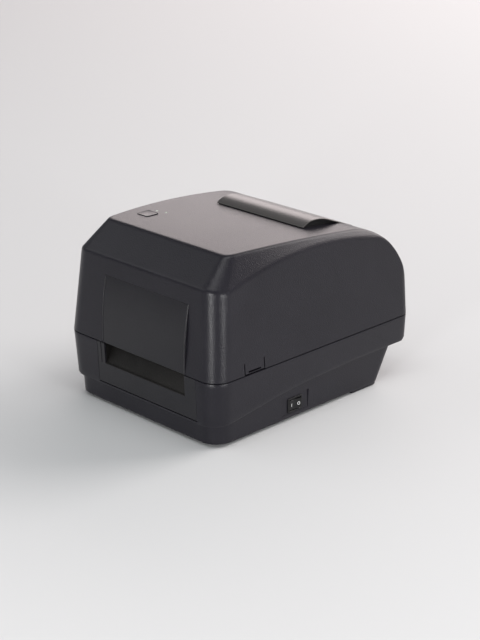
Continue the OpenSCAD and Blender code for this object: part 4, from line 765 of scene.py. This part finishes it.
def set_rocker(bm):
    """Turns what was modelled upright and puts it on the rocker's axis."""
    bmesh.ops.rotate(bm, matrix=Matrix.Rotation(-tilt, 3, "Z"), cent=(0, 0, 0), verts=bm.verts)
    bmesh.ops.translate(bm, vec=(bezel_x + bezel_up - rocker_t, switch_y, switch_z), verts=bm.verts)

rocker = bmesh.new()
add_box(rocker, (-rocker_t, -rocker_half_y, -rocker_half_z), (rocker_t, rocker_half_y, rocker_half_z))
middle = [e for e in rocker.edges if span(e, 1) > 1]
bmesh.ops.subdivide_edges(rocker, edges=middle, cuts=5, use_grid_fill=True)
for v in rocker.verts:
    if v.co.x > 0:
        v.co.x += abs(v.co.y) * math.tan(tilt)
    elif abs(v.co.y) > rocker_half_y / 2:
        v.co.x += rocker_cut
set_rocker(rocker)
finish_piece("rocker_key", rocker, "rocker", ("power_rocker",), bevel=0.4, segments=3, angle=20)

marks, hole = bmesh.new(), bmesh.new()
add_rod(marks, (0, ring_y, 0), (1, 0, 0), ring_r, mark_t, sides=40)
add_rod(hole, (-1, ring_y, 0), (1, 0, 0), bore_r, 3.0, sides=40)
marks = cut_away(marks, hole)
add_box(marks, (0, -bar_far, -bar_half), (mark_t, -bar_near, bar_half))
for v in marks.verts:
    v.co.x += mark_x + abs(v.co.y) * math.tan(tilt)
set_rocker(marks)
finish_piece("rocker_marks", marks, "rocker")

# %% [markdown]
# Some small forms belong to the two housing halves: the hinge knuckles, the bosses under the
# cover, the ears that carry the tabs, and the posts on the base's floor.

# %% Knuckles, bosses, ears and posts
hinge_y, hinge_r, hinge_x, knuckle_w, knuckle_gap, lug_h = 150.3, 4.5, 74.0, 10.0, 0.3, 5.0
ear_off, ear_half, ear_low, ear_high = 15.35, 1.25, (105.4, 80.5), (110.4, 88.5)
boss_r, boss_top_gap, boss_x, boss_feet = 5.0, 1.2, (-30.0, 46.0), ((-94.0, 162.0), (-10.0, 168.0))
floor_z, tray_posts = 4.5, ((-80, -84), (80, -84), (-86, 46), (86, 46))
board_posts = ((-7, -105), (61, -105), (-7, -19), (61, -19))

def add_knuckle(bm, x, low_z):
    add_rod(bm, (x, hinge_y, seam_z), (1, 0, 0), hinge_r, knuckle_w, sides=40)
    add_box(bm, (x, half_d - 1.0, low_z), (x + knuckle_w, hinge_y, low_z + lug_h))

cover_small, base_small = bmesh.new(), bmesh.new()
for s in (-1, 1):
    add_knuckle(cover_small, s * hinge_x - knuckle_w / 2, cover_low_z)
    for k in (-1, 1):
        beside = s * hinge_x + k * (knuckle_w + knuckle_gap) - knuckle_w / 2
        add_knuckle(base_small, beside, base_top_z - lug_h)
        ear_y = tab_y + k * ear_off
        ear_corner = (s * ear_low[0], ear_y - ear_half, ear_low[1])
        add_box(cover_small, ear_corner, (s * ear_high[0], ear_y + ear_half, ear_high[1]))
for x in boss_x:
    for y, z in boss_feet:
        add_rod(cover_small, (x, y, z + 0.05), (0, 0, 1), boss_r, float(crown_top(y)) - boss_top_gap - z)
for x, y in tray_posts:
    add_rod(base_small, (x, y, floor_z), (0, 0, 1), radius=5.0, length=15.0)
for x, y in board_posts:
    add_rod(base_small, (x, y, floor_z), (0, 0, 1), radius=2.5, length=7.5, sides=24)
finish_piece("cover_knuckles", cover_small, "cover", bevel=0.3)
finish_piece("base_knuckles", base_small, "base", bevel=0.3)

# %% [markdown]
# The connector bay is a hollow block, and a plane trims its walls to the sloping rear.

# %% Walls of the connector bay
bay, hollow = bmesh.new(), bmesh.new()
bay_front, bay_rear, trim_y = 100, 130, 105.4
add_box(bay, (bay_left - wall, bay_front, bay_low - wall), (bay_right + wall, bay_rear, bay_high + wall))
add_box(hollow, (bay_left, bay_front - 10, bay_low), (bay_right, bay_rear + 10, bay_high))
bay = cut_away(bay, hollow)
rear_slope = Vector((0, neck_z - underside_z, neck_foot_y - neck_top_y)).normalized()
everything = bay.verts[:] + bay.edges[:] + bay.faces[:]
trim_at = (0, trim_y, underside_z)
bmesh.ops.bisect_plane(bay, geom=everything, plane_co=trim_at, plane_no=rear_slope, clear_outer=True)
bmesh.ops.holes_fill(bay, edges=[e for e in bay.edges if e.is_boundary], sides=0)
turn_outwards(bay)
finish_piece("bay_walls", bay, "base")

# %% [markdown]
# A moulded surface is never quite even. One node group makes its fine spark-eroded grain and faint
# cloudiness, another the scuffs that daily use leaves. Both only put out values, so the shader
# itself stays in each material.

# %% Helpers for nodes
def make_group(name, number, default, outputs):
    """A node group that takes a vector and one number, and puts out values."""
    group = bpy.data.node_groups.new(name, "ShaderNodeTree")
    add_socket = group.interface.new_socket
    add_socket(name="Vector", in_out="INPUT", socket_type="NodeSocketVector")
    add_socket(name=number, in_out="INPUT", socket_type="NodeSocketFloat").default_value = default
    for label in outputs:
        add_socket(name=label, in_out="OUTPUT", socket_type="NodeSocketFloat")
    return group, group.nodes.new("NodeGroupInput").outputs, group.nodes.new("NodeGroupOutput").inputs

def feed(tree, socket, value):
    """Sets a socket to a number, or links it to another socket."""
    if isinstance(value, (int, float)):
        socket.default_value = value
    else:
        tree.links.new(value, socket)

def add_math(tree, operation, *values):
    node = tree.nodes.new("ShaderNodeMath")
    node.operation = operation
    for socket, value in zip(node.inputs, values):
        feed(tree, socket, value)
    return node.outputs[0]

def add_noise(tree, vector, scale, detail, rough):
    node = tree.nodes.new("ShaderNodeTexNoise")
    for label, value in (("Vector", vector), ("Scale", scale), ("Detail", detail), ("Roughness", rough)):
        feed(tree, node.inputs[label], value)
    return node.outputs["Fac"]

# %% Node groups for the finishes
grain, g_in, g_out = make_group("moulded_grain", "Scale", 900.0, ["Height", "Tone"])
fine = add_noise(grain, g_in["Vector"], g_in["Scale"], 2.0, 0.55)
cells = grain.nodes.new("ShaderNodeTexVoronoi")
cells.feature = "SMOOTH_F1"
feed(grain, cells.inputs["Vector"], g_in["Vector"])
feed(grain, cells.inputs["Scale"], add_math(grain, "MULTIPLY", g_in["Scale"], 0.9))
pits = add_math(grain, "MULTIPLY", cells.outputs["Distance"], 0.5)
feed(grain, g_out["Height"], add_math(grain, "ADD", add_math(grain, "MULTIPLY", fine, 0.6), pits))
feed(grain, g_out["Tone"], add_noise(grain, g_in["Vector"], 14.0, 4.0, 0.6))

wear, w_in, w_out = make_group("soft_wear", "Amount", 0.5, ["Mask"])
stretch = wear.nodes.new("ShaderNodeMapping")
stretch.inputs["Scale"].default_value = (60.0, 260.0, 60.0)
feed(wear, stretch.inputs["Vector"], w_in["Vector"])
sharp = wear.nodes.new("ShaderNodeMapRange")
scuffs = add_noise(wear, stretch.outputs["Vector"], 1.0, 5.0, 0.65)
for label, value in (("From Min", 0.62), ("From Max", 0.78), ("Value", scuffs)):
    feed(wear, sharp.inputs[label], value)
feed(wear, w_out["Mask"], add_math(wear, "MULTIPLY", sharp.outputs["Result"], w_in["Amount"]))
print("groups", [g.name for g in bpy.data.node_groups])

# %% [markdown]
# Most of the printer is the same kind of material, a moulded or machined surface with some grain,
# so one function builds it from a few numbers: two colours that the cloudiness mixes, a roughness,
# the grain's scale and its depth. Metal, scuffs and gloss differ on a few.

# %% How a material is built
materials = {}
rough_spread, scuff_polish, grain_d = 0.06, -0.12, 0.0003

def make_material(name, dark, light, rough, scale, depth, metal=0.0, scuff=0.3, gloss=0.5):
    mat = bpy.data.materials.new(name)
    mat.use_nodes = True
    tree = mat.node_tree
    shader = tree.nodes["Principled BSDF"]
    coords = tree.nodes.new("ShaderNodeTexCoord")
    grit, worn = tree.nodes.new("ShaderNodeGroup"), tree.nodes.new("ShaderNodeGroup")
    grit.node_tree, worn.node_tree = grain, wear
    grit.inputs["Scale"].default_value = scale
    worn.inputs["Amount"].default_value = scuff
    for group in (grit, worn):
        feed(tree, group.inputs["Vector"], coords.outputs["Object"])
    ramp = tree.nodes.new("ShaderNodeValToRGB")
    for stop, place, colour in zip(ramp.color_ramp.elements, (0.3, 0.7), (dark, light)):
        stop.position = place
        stop.color = (*colour, 1)
    feed(tree, ramp.inputs["Fac"], grit.outputs["Tone"])
    bump = tree.nodes.new("ShaderNodeBump")
    bump.inputs["Strength"].default_value = depth
    bump.inputs["Distance"].default_value = grain_d
    feed(tree, bump.inputs["Height"], grit.outputs["Height"])
    cloudy = add_math(tree, "MULTIPLY_ADD", grit.outputs["Tone"], rough_spread, rough - rough_spread / 2)
    polished = add_math(tree, "MULTIPLY_ADD", worn.outputs["Mask"], scuff_polish, cloudy)
    looks = {
        "Base Color": ramp.outputs["Color"], "Roughness": polished, "Normal": bump.outputs["Normal"],
        "Metallic": metal, "Specular IOR Level": gloss,
    }
    for label, value in looks.items():
        feed(tree, shader.inputs[label], value)
    materials[name] = mat

# %% Plastics and rubber
make_material(
    "charcoal_abs", (0.0090, 0.0083, 0.0122), (0.0125, 0.0116, 0.0162), 0.30, 1000, 0.8, scuff=0.1, gloss=0.29
)
make_material("black_panel", (0.0080, 0.0076, 0.0100), (0.0105, 0.0100, 0.0130), 0.31, 900, 0.6, gloss=0.38)
make_material("chute_grain", (0.0070, 0.0066, 0.0062), (0.016, 0.015, 0.014), 0.5, 600, 1.0, gloss=0.2)
# The hood is the same charcoal plastic as the cover; its warm light grey colour is painted sheen, standing in
# for the reflection of the light behind it.
make_material(
    "hood_painted_sheen", (0.056, 0.052, 0.049), (0.066, 0.061, 0.058), 0.29, 1000, 0.35, scuff=0.1, gloss=0.7
)
# The hood's end walls are the same charcoal plastic; their darker, duller colour is painted shade for ends
# turned away from the light.
make_material("hood_ends_painted_shade", (0.007, 0.007, 0.0075), (0.010, 0.010, 0.0105), 0.5, 1000, 0.3, gloss=0.15)
make_material("tray_grey", (0.050, 0.051, 0.056), (0.065, 0.066, 0.072), 0.48, 900, 0.4)
# The switch frame and rocker are black plastic, and their colour is made darker still than the housing's as
# painted shade for the shadow along the frame's lower and right edges.
make_material("switch_black_and_shade", (0.006, 0.006, 0.0065), (0.009, 0.009, 0.0095), 0.30, 1400, 0.1, gloss=0.3)
make_material("key_grey", (0.0145, 0.0137, 0.0165), (0.019, 0.018, 0.021), 0.29, 1100, 0.5, gloss=0.34)
make_material("mark_white", (0.62, 0.62, 0.61), (0.72, 0.72, 0.71), 0.5, 1500, 0.1)
make_material("holder_grey", (0.10, 0.10, 0.11), (0.13, 0.13, 0.14), 0.45, 900, 0.35)
make_material("motor_black", (0.016, 0.016, 0.018), (0.028, 0.028, 0.030), 0.42, 1000, 0.3)
make_material("part_black", (0.014, 0.014, 0.015), (0.030, 0.030, 0.031), 0.45, 1500, 0.2)
make_material("board_green", (0.010, 0.075, 0.030), (0.016, 0.110, 0.045), 0.35, 1000, 0.2)
make_material("lens_green", (0.30, 0.38, 0.30), (0.40, 0.50, 0.41), 0.22, 1500, 0.05)
make_material("nylon_white", (0.66, 0.65, 0.60), (0.78, 0.77, 0.72), 0.45, 1300, 0.2)
make_material("acetal_cream", (0.58, 0.55, 0.45), (0.70, 0.67, 0.56), 0.4, 1300, 0.15)
make_material("foot_rubber", (0.014, 0.014, 0.015), (0.022, 0.022, 0.022), 0.75, 700, 0.5)
make_material("platen_rubber", (0.022, 0.022, 0.023), (0.034, 0.033, 0.033), 0.62, 1800, 0.3)

# %% Metals
make_material("black_oxide", (0.035, 0.035, 0.037), (0.055, 0.055, 0.058), 0.36, 1400, 0.15, metal=1.0)
make_material("brushed_steel", (0.50, 0.50, 0.49), (0.62, 0.62, 0.61), 0.33, 1500, 0.12, metal=1.0)
make_material("bright_steel", (0.58, 0.58, 0.57), (0.70, 0.70, 0.69), 0.22, 1800, 0.06, metal=1.0)
make_material("cast_aluminium", (0.46, 0.47, 0.49), (0.60, 0.61, 0.63), 0.42, 1200, 0.25, metal=1.0)
make_material("brass", (0.60, 0.42, 0.16), (0.74, 0.55, 0.24), 0.3, 1500, 0.1, metal=1.0)

# %% [markdown]
# The parts inside keep their exact solids, because gears and shafts are already the right shape.
# They only get the finish of what they are made of.

# %% Which piece or inner part wears what
finishes = {
    "charcoal_abs": "cover_shell base_shell rear_pad release_tab_left release_tab_right "
                    "cover_knuckles base_knuckles bay_walls",
    "black_panel": "front_panel panel_rims exit_plate seam_tongue gear_cover",
    "chute_grain": "exit_chute",
    # The hood roof's warm light grey is painted sheen.
    "hood_painted_sheen": "hood_roof",
    # The hood ends' darker, duller colour is painted shade.
    "hood_ends_painted_shade": "hood_ends",
    "key_grey": "feed_key",
    "lens_green": "status_lights",
    "mark_white": "rocker_marks",
    # The switch's colour is black plastic darkened further as painted shade.
    "switch_black_and_shade": "switch_bezel rocker_key",
    "tray_grey": "media_tray rack_guide",
    "holder_grey": "roll_holder_left roll_holder_right roll_hub_left roll_hub_right",
    "motor_black": "drive_motor",
    "part_black": "board_parts power_jack sensor_carriage",
    "board_green": "main_board",
    "nylon_white": "platen_gear idler_gear centring_pinion supply_spindle takeup_spindle",
    "acetal_cream": "platen_bushings",
    "foot_rubber": "rubber_feet",
    "platen_rubber": "platen_rubber",
    "black_oxide": "tear_bar",
    "brushed_steel": "rear_plate gear_plate ribbon_frame head_carrier",
    "bright_steel": "usb_port case_screws latch_catches hinge_pins sensor_rail frame_screws "
                    "platen_shaft head_springs",
    "cast_aluminium": "thermal_head",
    "brass": "motor_pinion",
}
owners = {**frame["nodes"], **pieces}
for mat, names in finishes.items():
    for name in names.split():
        owners[name].data.materials.clear()
        owners[name].data.materials.append(materials[mat])
dressed = " ".join(finishes.values()).split()
bare = [n for n, o in frame["nodes"].items() if not o.hide_render and n not in dressed]
print("materials", len(materials), "nodes without a finish", bare)

# %% [markdown]
# The printer stands on a pale floor. A wide soft light behind and above it gives the top its sheen,
# because the camera sees the top at a low angle, and a second one beside it lights the side bevel.
# A ceiling light and a weak one at the left fill in. Two tall narrow lights, one in front and one
# at the right, make the pair of streaks on the rounded corner between them.

# %% Floor
floor_bm = bmesh.new()
bmesh.ops.create_grid(floor_bm, x_segments=1, y_segments=1, size=3.6)
floor = new_object("floor", mesh_from(floor_bm, "floor"))
floor_mat = bpy.data.materials.new("pale_floor")
floor_mat.use_nodes = True
floor_look = floor_mat.node_tree.nodes["Principled BSDF"].inputs
floor_look["Base Color"].default_value = (0.62, 0.63, 0.63, 1)
floor_look["Roughness"].default_value = 0.8
floor.data.materials.append(floor_mat)

# %% Lights
def add_light(name, place, target, width, height, watts, colour=(1, 1, 1)):
    data = bpy.data.lights.new(name, "AREA")
    data.shape = "RECTANGLE"
    data.size, data.size_y = width, height
    data.energy = watts
    data.color = colour
    aim_at(new_object(name, data), place, target)

add_light("back_light", (-0.5, 3.65, 1.75), (0, 0, 0.1), 8.5, 2.5, 155, (1.0, 0.89, 0.88))
add_light("bevel_light", (1.3, 3.45, 2.35), (0, 0, 0.15), 2.3, 2.6, 108, (1.0, 0.95, 0.94))
add_light("ceiling_light", (0.5, -0.4, 3.1), (0, 0, 0), 2.8, 0.95, 33)
add_light("left_light", (-1.9, -1.6, 1.9), (0, 0, 0.1), 2.4, 1.5, 11)
strip_away, strip_z = 1.5, 0.24
for name, turn, watts in (("front_light", math.radians(-68), 10.0), ("right_light", math.radians(-7), 8.0)):
    place = (strip_away * math.cos(turn), strip_away * math.sin(turn), strip_z)
    add_light(name, place, (0, 0, 0.16), 0.10, 0.36, watts)

# %% [markdown]
# The world gives a weak bluish fill. The camera sees a plain pale grey instead, which a Light Path
# node picks.

# %% World
world = bpy.data.worlds.new("studio")
bpy.context.scene.world = world
world.use_nodes = True
sky = world.node_tree
fill = sky.nodes["Background"]
fill.inputs["Color"].default_value = (0.93, 0.95, 1.0, 1)
fill.inputs["Strength"].default_value = 0.26
backdrop = sky.nodes.new("ShaderNodeBackground")
backdrop.inputs["Color"].default_value = (0.64, 0.65, 0.65, 1)
seen, either = sky.nodes.new("ShaderNodeLightPath"), sky.nodes.new("ShaderNodeMixShader")
sky.links.new(seen.outputs["Is Camera Ray"], either.inputs["Fac"])
sky.links.new(fill.outputs["Background"], either.inputs[1])
sky.links.new(backdrop.outputs["Background"], either.inputs[2])
sky.links.new(either.outputs["Shader"], sky.nodes["World Output"].inputs["Surface"])
bpy.context.scene.view_settings.view_transform = "Standard"
